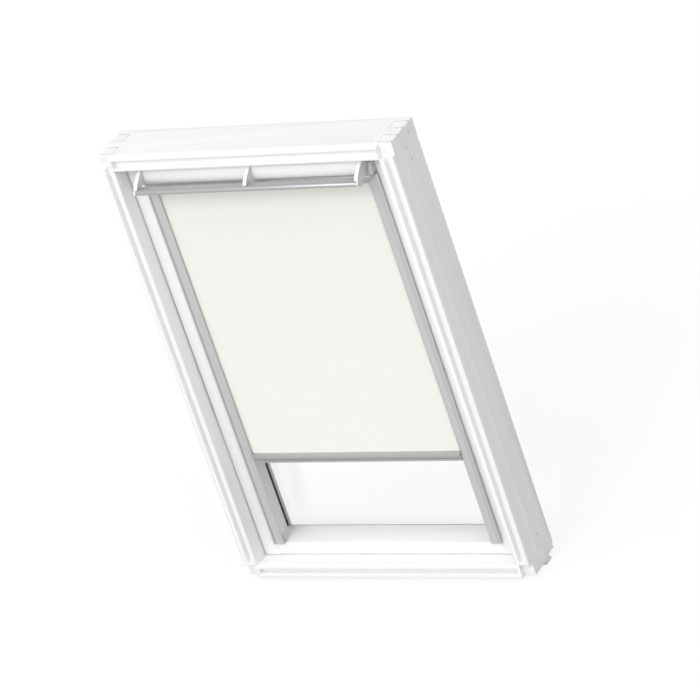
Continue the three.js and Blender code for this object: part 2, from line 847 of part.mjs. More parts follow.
function rightStile() {
  const body = alongZ([
    [sashInner, sashSetback, edgeRound],
    ...crown(sashHalf - crownWidth, sashHalf),
    [sashHalf, sashBack, edgeRound],
    [sashInner, sashBack],
  ], sashBottom, sashTop);
  const rebate = block(0, sashHalf - stileRim, stileSeat, sashBack + overrun,
    sashBottom + bottomRim, sashTop - topRim);
  const pinWell = rodX(pivotSetback, pivotHeight, pivotPinRadius + pivotPinWell,
    openingHalf - pivotPinReach - pivotPinWell, openingHalf);
  return cutBy(body.add(stileSplay()), [
    rebate,
    tenon(bottomTenonSpan, fitGap),
    tenon(topTenonSpan, fitGap),
    sashSeal(true, fitGap),
    sashSeal(false, fitGap),
    pivotPlate(sashHalf - pivotPlateThickness - fitGap, openingHalf, fitGap),
    pinWell,
  ]);
}

function bottomRail() {
  const half = sashInner - tightSeam;
  const rim = sashBottom + bottomRim;
  const body = alongX([
    [sashSetback, bottomRailTop, edgeRound],
    ...swapped(crown(sashBottom + crownWidth, sashBottom)),
    [sashBack, sashBottom, edgeRound],
    [sashBack, rim],
    [railSeat, rim],
    [railSeat, sightBottom],
  ], -half, half);
  return body.add(bothSides(tenon(bottomTenonSpan, 0))).subtract(sashSeal(false, fitGap));
}

function topRail() {
  const half = sashInner - tightSeam;
  const rim = sashTop - topRim;
  const body = alongX([
    [sashSetback, topRailBottom, edgeRound],
    [railSeat, sightTop],
    [railSeat, rim],
    [sashBack, rim],
    [sashBack, sashTop, edgeRound],
    ...swapped(crown(sashTop - crownWidth, sashTop)).reverse(),
  ], -half, half);
  return cutBy(body.add(bothSides(tenon(topTenonSpan, 0))), [
    sashSeal(true, fitGap),
    bothSides(ventSlot()),
    lockPocket(),
  ]);
}

// Right ventilation slot through the top rail
function ventSlot() {
  const top = sashTop - ventSlotDrop;
  return block(ventSlotInner, ventSlotOuter, 0, sashBack + overrun, top - ventSlotHeight, top);
}

function lockPocket() {
  const halfLength = lockLength / 2 + fitGap;
  const halfDepth = lockDepth / 2 + fitGap;
  return block(-halfLength, halfLength, lockSetback - halfDepth, lockSetback + halfDepth,
    sashTop - lockHeight - fitGap, sashTop + overrun);
}

// Tongue of the lock drawn back, or its guide in the case when grown by a gap
function tongue(gap) {
  const halfWidth = tongueWidth / 2 + gap;
  const halfDepth = tongueThickness / 2 + gap;
  return block(-halfWidth, halfWidth, lockSetback - halfDepth, lockSetback + halfDepth,
    sashTop - lockHeight + lockBackWall - gap, sashTop - fitGap);
}

function lockCase() {
  const halfLength = lockLength / 2;
  const halfDepth = lockDepth / 2;
  const body = block(-halfLength, halfLength, lockSetback - halfDepth, lockSetback + halfDepth,
    sashTop - lockHeight, sashTop - fitGap * 2);
  return body.subtract(tongue(fitGap));
}

// Rubber on the glass seat: a flat frame, and a deeper strip where each stile's seat lies lower
function glazingGasket() {
  const inner = sightHalf + fitGap;
  const back = gasketFront + gasketThickness;
  const flat = rectangleRing([paneHalf, paneBottom, paneTop],
    [inner, sightBottom - fitGap, sightTop + fitGap], gasketFront, back);
  const strip = block(inner, paneHalf, stileSeat + fitGap, back, sightBottom + fitGap, sightTop - fitGap);
  return flat.add(bothSides(strip));
}

function pane(front) {
  return block(-paneHalf, paneHalf, front, front + paneThickness, paneBottom, paneTop);
}

function glassSpacer() {
  const half = sashInner - spacerInset;
  const bottom = sightBottom - spacerFootDrop;
  const top = sightTop + spacerDrop;
  return rectangleRing([half + spacerWidth, bottom - spacerWidth, top + spacerWidth],
    [half, bottom, top], innerPaneFront + paneThickness + fitGap, outerPaneFront - fitGap);
}

// Folded cover on the outside of a stile, from its edge in over the rim of the glass
function rightSashCover() {
  const outer = sashHalf - sashCoverInset;
  const lap = coverSightHalf;
  return alongZ([
    [outer, sashCoverSeat],
    [outer, sashCoverFace, edgeRound],
    [lap, sashCoverFace, edgeRound],
    [lap, glassCoverSeat],
    [lap + sheet, glassCoverSeat],
    [lap + sheet, sashCoverFace - sheet],
    [outer - sheet, sashCoverFace - sheet],
    [outer - sheet, sashCoverSeat],
  ], sashBottom + sashCoverInset, sashTop - sashCoverInset);
}

// Folded cover along a rail; the inward step is up for the bottom rail and down for the top one
function railCover(edge, lap, inwards) {
  const half = coverSightHalf - fitGap;
  return alongX([
    [sashCoverSeat, edge],
    [sashCoverFace, edge, edgeRound],
    [sashCoverFace, lap, edgeRound],
    [glassCoverSeat, lap],
    [glassCoverSeat, lap - inwards * sheet],
    [sashCoverFace - sheet, lap - inwards * sheet],
    [sashCoverFace - sheet, edge + inwards * sheet],
    [sashCoverSeat, edge + inwards * sheet],
  ], -half, half);
}

function bottomCover() {
  return railCover(sashBottom + sashCoverInset, paneBottom + sashCoverLap, 1);
}

function topCover() {
  const cover = railCover(sashTop - sashCoverInset, paneTop - sashCoverLap, -1);
  const pitch = (ventSlotOuter - ventSlotInner) / louvreCount;
  const width = pitch * louvreWidthShare;
  const top = sashTop - ventSlotDrop - (ventSlotHeight - louvreHeight) / 2;
  const louvres = Array.from({ length: louvreCount }, (_, i) => {
    const x0 = ventSlotInner + pitch * i + (pitch - width) / 2;
    return block(x0, x0 + width, glassCoverSeat, sashCoverFace + overrun, top - louvreHeight, top);
  });
  return cover.subtract(bothSides(joined(louvres)));
}

function ventFlap() {
  const outside = [...flapTopReturn, ...flapFace, ...fromSashTop(flapBottomPoints)];
  return alongX(sheetProfile(outside, flapSheet), -flapHalfLength, flapHalfLength);
}

function controlBar() {
  const half = barHalfLength - barCapWidth - fitGap;
  const rounded = [...barOutside, ...fromSashTop(barInsidePoints)].map((point) => [...point, fineRound]);
  return alongX(rounded, -half, half);
}

// The edge of a bracket that lies against the flap, from bottom to top
function bracketBack() {
  const top = bracketFront[0][1];
  return flapFace.filter(([, z]) => z < top).map(([y, z]) => [y - fitGap, z]).reverse();
}

function centreBracket() {
  return alongX([...bracketFront, ...bracketFoot, ...fromSashTop([bracketWaistPoint]), ...bracketBack()],
    -bracketWidth / 2, bracketWidth / 2);
}

// End bracket: the same fin, widened back to an eye on the pivot, with a cap over the bar's end
function rightEndBracket() {
  const eyeBack = ventAxisSetback + ventEyeRadius;
  const fin = alongX([
    ...bracketFront,
    ...bracketFoot,
    ...endBracketWaist,
    flapFace.at(-1),
    [eyeBack, ventAxisHeight - ventEyeRadius, ventEyeRadius],
    [eyeBack, ventAxisHeight + ventEyeRadius, ventEyeRadius],
    [...flapTopReturn.at(-1), ventEyeRadius],
  ], bracketInner, barHalfLength);
  const cap = alongX([
    ...bracketFoot.toReversed(),
    ...barOutside.slice(2),
    endBracketWaist[0],
  ], barHalfLength - barCapWidth, barHalfLength);
  const pinHole = rodX(ventAxisSetback, ventAxisHeight, ventPinRadius + fitGap, flapHalfLength, openingHalf);
  return fin.add(cap).subtract(pinHole);
}

// Bearing on the face of the sash, with the pin that the flap turns on
function rightBearing() {
  const inner = barHalfLength + runningGap;
  const back = sashSetback - fitGap;
  const body = alongX([
    [back - bearingDepth, ventAxisHeight - bearingDrop, backRound],
    [back, ventAxisHeight - bearingDrop],
    [back, ventAxisHeight + bearingRise],
    [back - bearingDepth / 2, ventAxisHeight + bearingRise, backRound],
  ], inner, inner + bearingWidth);
  const pin = rodX(ventAxisSetback, ventAxisHeight, ventPinRadius, inner - ventPinReach,
    inner + bearingWidth);
  return body.add(pin);
}

// Body of the blind casing in [y, z], drawn in by a wall
function casingOutline(wall) {
  const front = faceBack - fitGap + wall;
  const back = faceBack - fitGap + casingBodyDepth - wall;
  return [
    [front, casingBottom + wall],
    [front, casingBodyTop - wall, edgeRound],
    [back, casingBodyTop - wall, backRound],
    [back, casingBottom + wall, backRound],
  ];
}

function casingBody() {
  const half = casingBodyHalf + overrun;
  const slotFront = faceBack + blindWall;
  const slotBack = slotFront + casingSlotDepth;
  return cutBy(alongX(casingOutline(0), -casingBodyHalf, casingBodyHalf), [
    alongX(casingOutline(blindWall), -half, half),
    block(-half, half, slotFront, slotBack, casingBottom - overrun, casingBottom + overrun),
  ]);
}

// Face that channels and casing share, as [distance from the outer edge, setback, fillet]
function faceProfile() {
  return [
    [0, blindSetback + faceSlopeDrop, fineRound],
    [faceEdgeWidth, blindSetback, fineRound],
    [faceRibWidth, blindSetback],
    [faceRibWidth + faceGrooveSlant, blindSetback + faceGrooveDepth],
    [faceRibWidth + faceGrooveWidth, blindSetback],
    [channelWidth - faceSlopeWidth, blindSetback],
    [channelWidth, blindSetback + faceSlopeDrop, fineRound],
  ];
}

// Everything above the mitre at the right upper corner, moved up by a gap
function aboveMitre(gap) {
  const rise = overrun * 2 * casingFaceHeight / channelWidth;
  const low = casingBottom - rise + gap;
  const high = casingTop + rise + gap;
  return alongY([
    [channelInner - overrun * 2, low],
    [blindHalfWidth + overrun * 2, high],
    [-frameHalf, high],
    [-frameHalf, low],
  ], 0, frameDepth);
}

function casingFace() {
  const heightShare = casingFaceHeight / channelWidth;
  const face = faceProfile().map(([across, setback, radius]) => {
    return [setback, casingTop - across * heightShare, radius];
  });
  const outline = [...face, [faceBack, casingBottom], [faceBack, casingTop]];
  const strip = alongX(outline, -blindHalfWidth, blindHalfWidth);
  const corner = aboveMitre(fitGap / 2);
  return strip.intersect(corner).intersect(mirrored(corner));
}

function rightCasingEnd() {
  const start = casingBodyHalf + fitGap;
  const plate = alongX(casingOutline(casingEndInset), start, start + casingEndThickness);
  const pinHole = rodX(rollerSetback, rollerHeight, rollerPinRadius + fitGap, casingBodyHalf, openingHalf);
  return plate.subtract(pinHole);
}

// Side channel: the shared face, a leg on the stile, and a slot that takes the edge of the cloth
function rightChannel() {
  const webOuter = sashInner - channelWallGap;
  const slotEnd = webOuter - channelWeb;
  const lipStart = channelInner + channelLipInset;
  const legOuter = blindHalfWidth - channelLegInset;
  const legInner = legOuter - blindWall;
  const seat = sashSetback - fitGap;
  const body = alongZ([
    ...faceProfile().map(([across, setback, radius]) => [blindHalfWidth - across, setback, radius]),
    [channelInner, faceBack],
    [slotEnd, faceBack],
    [slotEnd, channelSlotBack],
    [lipStart, channelSlotBack],
    [lipStart, channelSlotBack + blindWall],
    [webOuter, channelSlotBack + blindWall],
    [webOuter, faceBack + blindWall],
    [legInner, faceBack + blindWall],
    [legInner, seat],
    [legOuter, seat],
    [legOuter, faceBack],
    [blindHalfWidth, faceBack],
  ], channelBottom, casingTop);
  const behindFace = block(0, frameHalf, faceBack - fitGap * 2, frameDepth,
    casingBottom - fitGap, frameHeight);
  return cutBy(body, [aboveMitre(-fitGap / 2), behindFace]);
}

function tube(radius, bore, half) {
  const outer = rodX(rollerSetback, rollerHeight, radius, -half, half);
  return outer.subtract(rodX(rollerSetback, rollerHeight, bore, -half - overrun, half + overrun));
}

// Plug in the right end of the roller tube, with the pin that turns in the casing end
function rightPlug() {
  const shoulder = rollerHalfLength + fitGap;
  const pinEnd = casingBodyHalf + fitGap + casingEndThickness;
  return joined([
    rodX(rollerSetback, rollerHeight, tubeBore - fitGap, rollerHalfLength - plugLength, shoulder),
    rodX(rollerSetback, rollerHeight, rollerTubeRadius, shoulder, shoulder + plugFlange),
    rodX(rollerSetback, rollerHeight, rollerPinRadius, shoulder, pinEnd),
  ]);
}

// Winding spring inside the tube, from the right plug inwards
class SpringPath extends THREE.Curve {
  getPoint(share) {
    const turn = share * springLoops * Math.PI * 2;
    const radius = tubeBore - fitGap - springWireRadius;
    const start = rollerHalfLength - plugLength - fitGap - springWireRadius;
    return new THREE.Vector3(start - share * springLength,
      rollerSetback + radius * Math.cos(turn), rollerHeight + radius * Math.sin(turn));
  }
}

function rollerSpring() {
  const wire = new THREE.Shape();
  wire.absarc(0, 0, springWireRadius, 0, Math.PI * 2);
  return toSolid(new THREE.ExtrudeGeometry(wire, {
    steps: springLoops * springStepsPerLoop,
    curveSegments: springWireCorners,
    extrudePath: new SpringPath(),
  }));
}

function bottomBar() {
  const half = channelInner - bottomBarGap;
  return alongX([
    ...bottomBarFace.map(([y, z, radius]) => [sashSetback + y, barBottomAtRest + z, radius]),
    [bottomBarBack, barBottomAtRest, fineRound],
    [bottomBarBack, barTopAtRest, fineRound],
  ], -half, half);
}

// Guide at the right end of the bottom bar, running in the channel's slot
function rightGuide() {
  const front = faceBack + (channelSlotDepth - guideThickness) / 2;
  const start = channelInner - bottomBarGap + fitGap;
  const bottom = barBottomAtRest + (bottomBarHeight - guideHeight) / 2;
  return alongY([
    [start, bottom, edgeRound],
    [start + guideReach, bottom, edgeRound],
    [start + guideReach, bottom + guideHeight, edgeRound],
    [start, bottom + guideHeight, edgeRound],
  ], front, front + guideThickness);
}

// Frame
addPair('frame_jamb', rightJamb(), whitePaint);
addPiece('frame_head', frameHead(), whitePaint);
addPiece('frame_sill', frameSill(), whitePaint);
addPair('frame_foot', rightFoot(), greyPlastic);
addPair('frame_cover', rightFrameCover(), greyLacquer);
addPiece('frame_hood', frameHood(), greyLacquer);
addPiece('frame_apron', frameApron(), greyLacquer);
addPair('frame_pivot', rightFramePivot(), zincSteel);
addPiece('lock_striker', strikerPlate(0).subtract(strikerWell()), zincSteel);
sideScrewPlaces.forEach((place, i) => {
  addPair(`frame_screw_${i + 1}`, frameScrew(place, 0).subtract(crossRecess(place)), zincSteel);
});

// Sash and its glass
addPair('sash_stile', rightStile(), whitePaint);
addPiece('sash_rail_bottom', bottomRail(), whitePaint);
addPiece('sash_rail_top', topRail(), whitePaint);
addPiece('sash_seal_upper', sashSeal(true, 0), blackRubber);
addPiece('sash_seal_lower', sashSeal(false, 0), blackRubber);
addPair('sash_pivot', rightSashPivot(), zincSteel);
addPiece('glazing_gasket', glazingGasket(), blackRubber);
addPiece('glass_inner_pane', pane(innerPaneFront), clearGlass);
addPiece('glass_spacer', glassSpacer(), aluminium);
addPiece('glass_outer_pane', pane(outerPaneFront), clearGlass);
addPair('sash_cover', rightSashCover(), greyLacquer);
addPiece('sash_cover_bottom', bottomCover(), greyLacquer);
addPiece('sash_cover_top', topCover(), greyLacquer);
addPiece('lock_case', lockCase(), zincSteel);
addPiece('lock_tongue', tongue(0), zincSteel);

// Ventilation flap and control bar
addPair('vent_bearing', rightBearing(), greyPlastic);
addPiece('vent_flap', ventFlap(), whitePlastic);
addPiece('control_bar', controlBar(), aluminium);
addPair('bar_bracket', rightEndBracket(), whitePlastic);
addPiece('bar_bracket_centre', centreBracket(), whitePlastic);

// Roller blind
addPiece('blind_casing', casingFace().add(casingBody()), aluminium);
addPair('casing_end', rightCasingEnd(), greyPlastic);
addPair('blind_channel', rightChannel(), aluminium);
addPiece('roller_tube', tube(rollerTubeRadius, tubeBore, rollerHalfLength), aluminium);
addPair('roller_plug', rightPlug(), greyPlastic);
addPiece('roller_spring', rollerSpring(), springSteel);
addPiece('cloth_roll', tube(rollRadius, rollerTubeRadius + tightSeam, clothHalfWidth), offWhiteCloth);
addPiece('blind_cloth', block(-clothHalfWidth, clothHalfWidth, clothSetback, clothSetback + clothThickness,
  barTopAtRest + fitGap, rollerHeight), offWhiteCloth);
addPiece('bottom_bar', bottomBar(), aluminium);
addPair('bottom_bar_guide', rightGuide(), greyPlastic);

model.position.y = -frameDepth / 2;

export default model;
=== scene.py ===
# Looks of a centre-pivot roof window with its roller blind.
# Lengths are metres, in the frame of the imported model, and named angles are degrees.
import json
import math

import bmesh
import bpy
from mathutils import Matrix, Vector


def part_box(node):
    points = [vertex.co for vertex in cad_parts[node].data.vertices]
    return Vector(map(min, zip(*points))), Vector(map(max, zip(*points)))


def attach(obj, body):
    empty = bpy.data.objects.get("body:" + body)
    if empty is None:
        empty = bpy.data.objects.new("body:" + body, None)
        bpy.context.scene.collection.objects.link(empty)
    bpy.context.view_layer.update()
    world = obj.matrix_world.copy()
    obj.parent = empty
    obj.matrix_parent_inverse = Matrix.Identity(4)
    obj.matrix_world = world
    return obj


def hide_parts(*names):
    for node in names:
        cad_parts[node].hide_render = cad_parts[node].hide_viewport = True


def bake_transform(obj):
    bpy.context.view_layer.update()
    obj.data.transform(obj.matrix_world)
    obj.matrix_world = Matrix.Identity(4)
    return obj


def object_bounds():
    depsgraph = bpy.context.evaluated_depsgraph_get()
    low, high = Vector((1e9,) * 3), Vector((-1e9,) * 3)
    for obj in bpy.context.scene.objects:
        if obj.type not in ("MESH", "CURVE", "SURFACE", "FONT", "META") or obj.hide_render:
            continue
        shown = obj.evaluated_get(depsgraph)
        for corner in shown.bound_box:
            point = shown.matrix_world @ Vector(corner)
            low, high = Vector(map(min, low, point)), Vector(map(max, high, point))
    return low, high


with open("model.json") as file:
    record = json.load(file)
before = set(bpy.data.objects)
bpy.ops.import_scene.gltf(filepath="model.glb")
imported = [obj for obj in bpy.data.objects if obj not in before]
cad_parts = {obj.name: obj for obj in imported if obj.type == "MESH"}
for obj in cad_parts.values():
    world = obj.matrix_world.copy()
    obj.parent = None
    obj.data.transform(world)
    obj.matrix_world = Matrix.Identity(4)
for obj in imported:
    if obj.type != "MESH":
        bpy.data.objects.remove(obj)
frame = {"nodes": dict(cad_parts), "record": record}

record = frame["record"]
nodes = frame["nodes"]
body_of_node = {node: body for body, members in record["behaviour"]["bodies"].items()
    for node in members}
slot_of_node = {row["node"]: row["material_slot"] for row in record["subparts"]}
cad_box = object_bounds()
SIDES = ("left", "right")
SIGNED_SIDES = (("left", -1), ("right", 1))


def link(item):
    bpy.context.scene.collection.objects.link(item)


def corners_of(node):
    """The low and the high corner of a CAD node's box."""
    low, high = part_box(node)
    return Vector(low), Vector(high)


def mesh_from(made, name):
    mesh = bpy.data.meshes.new(name)
    made.to_mesh(mesh)
    made.free()
    return mesh


def shade_smooth(mesh):
    for polygon in mesh.polygons:
        polygon.use_smooth = True


# Camera, whose lens and film width are millimetres

CAMERA_PLACE = (6.3716, -9.0412, 6.3177)
CAMERA_RIGHT = Vector((0.86120, 0.41667, -0.29106))
CAMERA_UP = Vector((0.02012, 0.54426, 0.83868))
CAMERA_LENS = 275.482
CAMERA_FILM_WIDTH = 36
CAMERA_REACH = 200


def set_camera():
    data = bpy.data.cameras.new("photo_view")
    data.sensor_width = CAMERA_FILM_WIDTH
    data.lens = CAMERA_LENS
    data.clip_end = CAMERA_REACH
    camera = bpy.data.objects.new("photo_view", data)
    turn = Matrix((CAMERA_RIGHT, CAMERA_UP, CAMERA_RIGHT.cross(CAMERA_UP))).transposed()
    camera.matrix_world = Matrix.Translation(CAMERA_PLACE) @ turn.to_4x4()
    link(camera)
    bpy.context.scene.camera = camera


# Shader building

FLOAT = "NodeSocketFloat"
COLOUR = "NodeSocketColor"
VECTOR = "NodeSocketVector"

# Numbers of the sockets of a mix node: two numbers to mix, or two colours and their result
FIRST_NUMBER, SECOND_NUMBER = 2, 3
FIRST_COLOUR, SECOND_COLOUR, MIXED_COLOUR = 6, 7, 2


def add_node(tree, kind, inputs=None, **settings):
    """A node with its settings, and each input either a plain value or a link from another socket."""
    made = tree.nodes.new(kind)
    for name, value in settings.items():
        setattr(made, name, value)
    for name, value in (inputs or {}).items():
        if isinstance(value, bpy.types.NodeSocket):
            tree.links.new(value, made.inputs[name])
        else:
            made.inputs[name].default_value = value
    return made


def math_node(tree, operation, *values):
    return add_node(tree, "ShaderNodeMath", dict(enumerate(values)), operation=operation).outputs[0]


def new_effect(name, inputs, outputs):
    """An empty node group, with its input sockets to read and its output sockets to fill."""
    tree = bpy.data.node_groups.new(name, "ShaderNodeTree")
    for label, kind, value in inputs:
        socket = tree.interface.new_socket(label, in_out="INPUT", socket_type=kind)
        socket.default_value = value
    for label, kind in outputs:
        tree.interface.new_socket(label, in_out="OUTPUT", socket_type=kind)
    return tree, tree.nodes.new("NodeGroupInput").outputs, tree.nodes.new("NodeGroupOutput").inputs


def uneven_film():
    """Colour and roughness that drift over the surface; rounded edges lightened as wear, or darkened as
    painted shade where the edge light is below zero; and seams darkened as painted shade.
    """
    tree, given, result = new_effect("uneven_film", [
        ("Colour", COLOUR, (0.8, 0.8, 0.8, 1)),
        ("Patch Scale", FLOAT, 9.0),
        ("Colour Drift", FLOAT, 0.03),
        ("Roughness", FLOAT, 0.5),
        ("Roughness Drift", FLOAT, 0.1),
        ("Edge Light", FLOAT, 0.05),
        ("Seam Shade", FLOAT, 0.0),
    ], [("Colour", COLOUR), ("Roughness", FLOAT)])
    place = add_node(tree, "ShaderNodeTexCoord").outputs["Object"]
    patches = add_node(tree, "ShaderNodeTexNoise",
        {"Vector": place, "Scale": given["Patch Scale"], "Detail": 4.0, "Roughness": 0.6})
    smears = add_node(tree, "ShaderNodeTexNoise", {"Vector": place, "Scale": 60.0, "Detail": 3.0})
    # The edge mark is lightened as wear where Edge Light is above zero, and darkened as painted shade
    # where it is below zero.
    edge = add_node(tree, "ShaderNodeAttribute", attribute_name="edge_wear_and_shade").outputs["Fac"]
    # The seam mark carries painted shade in the comb joints' grooves and notches.
    seam = add_node(tree, "ShaderNodeAttribute", attribute_name="painted_seam_shade").outputs["Fac"]
    patchy = math_node(tree, "SUBTRACT", patches.outputs[0], 0.5)
    drift = math_node(tree, "MULTIPLY", patchy, given["Colour Drift"])
    edge_smears = math_node(tree, "MULTIPLY", edge, smears.outputs[0])
    edge_wear_and_shade_level = math_node(tree, "MULTIPLY", edge_smears, given["Edge Light"])
    painted_seam_darkening = math_node(tree, "MULTIPLY", seam, given["Seam Shade"])
    level_before_seam_shade = math_node(tree, "ADD", math_node(tree, "ADD", drift, edge_wear_and_shade_level), 1.0)
    level = math_node(tree, "SUBTRACT", level_before_seam_shade, painted_seam_darkening)
    tinted = add_node(tree, "ShaderNodeVectorMath", {0: given["Colour"], "Scale": level},
        operation="SCALE")
    tree.links.new(tinted.outputs[0], result["Colour"])
    smeared = math_node(tree, "SUBTRACT", smears.outputs[0], 0.5)
    spread = math_node(tree, "MULTIPLY", smeared, given["Roughness Drift"])
    smoothed = math_node(tree, "SUBTRACT", spread, edge_wear_and_shade_level)
    rough = math_node(tree, "ADD", given["Roughness"], smoothed)
    tree.links.new(rough, result["Roughness"])
    return tree


def long_lines():
    """Height of fine lines that run along one direction, as brush marks, grain or drawing lines do."""
    tree, given, result = new_effect("long_lines", [
        ("Stretch", VECTOR, (1.0, 1.0, 0.02)),
        ("Line Scale", FLOAT, 600.0),
        ("Peel Scale", FLOAT, 900.0),
        ("Peel Share", FLOAT, 0.3),
    ], [("Height", FLOAT)])
    place = add_node(tree, "ShaderNodeTexCoord").outputs["Object"]
    drawn = add_node(tree, "ShaderNodeVectorMath", {0: place, 1: given["Stretch"]}, operation="MULTIPLY")
    lines = add_node(tree, "ShaderNodeTexNoise",
        {"Vector": drawn.outputs[0], "Scale": given["Line Scale"], "Detail": 3.0, "Roughness": 0.55})
    peel = add_node(tree, "ShaderNodeTexNoise",
        {"Vector": place, "Scale": given["Peel Scale"], "Detail": 1.0})
    added = math_node(tree, "MULTIPLY_ADD", peel.outputs[0], given["Peel Share"], lines.outputs[0])
    tree.links.new(added, result["Height"])
    return tree


def moulded_grain():
    """Height of the fine even grain that a mould leaves on plastic and rubber."""
    tree, given, result = new_effect("moulded_grain", [
        ("Grain Scale", FLOAT, 1800.0),
    ], [("Height", FLOAT)])
    place = add_node(tree, "ShaderNodeTexCoord").outputs["Object"]
    cells = add_node(tree, "ShaderNodeTexVoronoi", {"Vector": place, "Scale": given["Grain Scale"]})
    soft = add_node(tree, "ShaderNodeTexNoise", {"Vector": place, "Scale": 240.0, "Detail": 2.0})
    mixed = math_node(tree, "MULTIPLY_ADD", soft.outputs[0], 0.6, cells.outputs["Distance"])
    tree.links.new(mixed, result["Height"])
    return tree


THREAD_PITCH = 0.00055
THREAD_MEAN_HEIGHT = 0.64
SLUB_STRETCHES = ((6.0, 1.0, 900.0), (900.0, 1.0, 6.0))


def woven_threads():
    """Plain weave: height of the crossing threads, the tone of thicker threads, and painted shade in the
    gaps between threads.
    """
    tree, given, result = new_effect("woven_threads", [
        ("Colour", COLOUR, (0.9, 0.9, 0.85, 1)),
        ("Gap Shade", FLOAT, 0.06),
        ("Slub Shade", FLOAT, 0.03),
    ], [("Colour", COLOUR), ("Height", FLOAT)])
    place = add_node(tree, "ShaderNodeTexCoord").outputs["Object"]
    split = add_node(tree, "ShaderNodeSeparateXYZ", {0: place})
    turn = math.pi / THREAD_PITCH
    across = math_node(tree, "SINE", math_node(tree, "MULTIPLY", split.outputs["X"], turn))
    along = math_node(tree, "SINE", math_node(tree, "MULTIPLY", split.outputs["Z"], turn))
    weft_over = math_node(tree, "GREATER_THAN", math_node(tree, "MULTIPLY", across, along), 0.0)
    warp = math_node(tree, "ABSOLUTE", across)
    weft = math_node(tree, "ABSOLUTE", along)
    height = add_node(tree, "ShaderNodeMix",
        {0: weft_over, FIRST_NUMBER: warp, SECOND_NUMBER: weft}).outputs[0]
    slubs = []
    for stretch in SLUB_STRETCHES:
        drawn = add_node(tree, "ShaderNodeVectorMath", {0: place, 1: stretch}, operation="MULTIPLY")
        slubs.append(add_node(tree, "ShaderNodeTexNoise",
            {"Vector": drawn.outputs[0], "Scale": 1.0, "Detail": 2.0}).outputs[0])
    thick = math_node(tree, "SUBTRACT", math_node(tree, "ADD", *slubs), 1.0)
    # The gaps between the threads are darkened as painted shade.
    sunken = math_node(tree, "SUBTRACT", height, THREAD_MEAN_HEIGHT)
    gaps = math_node(tree, "MULTIPLY", sunken, given["Gap Shade"])
    shaded = math_node(tree, "MULTIPLY_ADD", thick, given["Slub Shade"], gaps)
    level = math_node(tree, "ADD", shaded, 1.0)
    tinted = add_node(tree, "ShaderNodeVectorMath", {0: given["Colour"], "Scale": level},
        operation="SCALE")
    tree.links.new(tinted.outputs[0], result["Colour"])
    tree.links.new(height, result["Height"])
    return tree


FILM = uneven_film()
LINES = long_lines()
GRAIN = moulded_grain()
WEAVE = woven_threads()


def add_effect(tree, effect, **inputs):
    return add_node(tree, "ShaderNodeGroup",
        {name.replace("_", " "): value for name, value in inputs.items()}, node_tree=effect)


def new_material(name):
    """A material with its tree and its surface shader."""
    material = bpy.data.materials.new(name)
    material.use_nodes = True
    return material, material.node_tree, material.node_tree.nodes["Principled BSDF"]


def raise_surface(tree, surface, relief, depth):
    """Where the relief's height is one, the surface stands up by the depth."""
    bump = add_node(tree, "ShaderNodeBump",
        {"Height": relief.outputs["Height"], "Distance": depth, "Strength": 1.0})
    tree.links.new(bump.outputs["Normal"], surface.inputs["Normal"])


def filmed(tree, surface, **inputs):
    film = add_effect(tree, FILM, **inputs)
    tree.links.new(film.outputs["Colour"], surface.inputs["Base Color"])
    tree.links.new(film.outputs["Roughness"], surface.inputs["Roughness"])


# Finishes

PAINT = (0.91, 0.91, 0.905, 1)
# The aluminium that lies across is the same metal as the upright; its darker colour is painted shade.
ALUMINIUM_UPRIGHT = (0.56, 0.57, 0.565, 1)
ALUMINIUM_ACROSS_SHADED = (0.44, 0.447, 0.444, 1)
GREY_LACQUER = (0.105, 0.11, 0.115, 1)
ZINC = (0.60, 0.61, 0.62, 1)
SPRING_STEEL = (0.35, 0.36, 0.37, 1)
RUBBER = (0.042, 0.042, 0.043, 1)
GLASS = (0.985, 0.996, 0.996, 1)
GLASS_SHADOW = (0.99, 0.995, 0.995, 1)
CLOTH = (0.905, 0.907, 0.858, 1)
FOOT_PLASTIC = (0.80, 0.80, 0.79, 1)
GREY_PLASTIC = (0.52, 0.53, 0.53, 1)
WHITE_PLASTIC = (0.90, 0.90, 0.885, 1)
BRACKET_SIDE = (0.62, 0.63, 0.63, 1)

# How far a bracket's face turns sideways, from where the colour of the side begins to where it is full
SIDE_BEGINS, SIDE_FULL = 0.85, 0.97


def painted_timber(name, stretch):
    """White satin paint over planed timber whose grain runs along the member."""
    material, tree, surface = new_material(name)
    # Seam Shade darkens the comb joints' grooves and notches as painted shade.
    filmed(tree, surface, Colour=PAINT, Patch_Scale=5.0, Colour_Drift=0.02, Roughness=0.42,
        Roughness_Drift=0.12, Edge_Light=0.03, Seam_Shade=0.6)
    grain = add_effect(tree, LINES, Stretch=stretch, Line_Scale=420.0, Peel_Scale=1100.0,
        Peel_Share=0.35)
    raise_surface(tree, surface, grain, depth=0.00004)
    return material


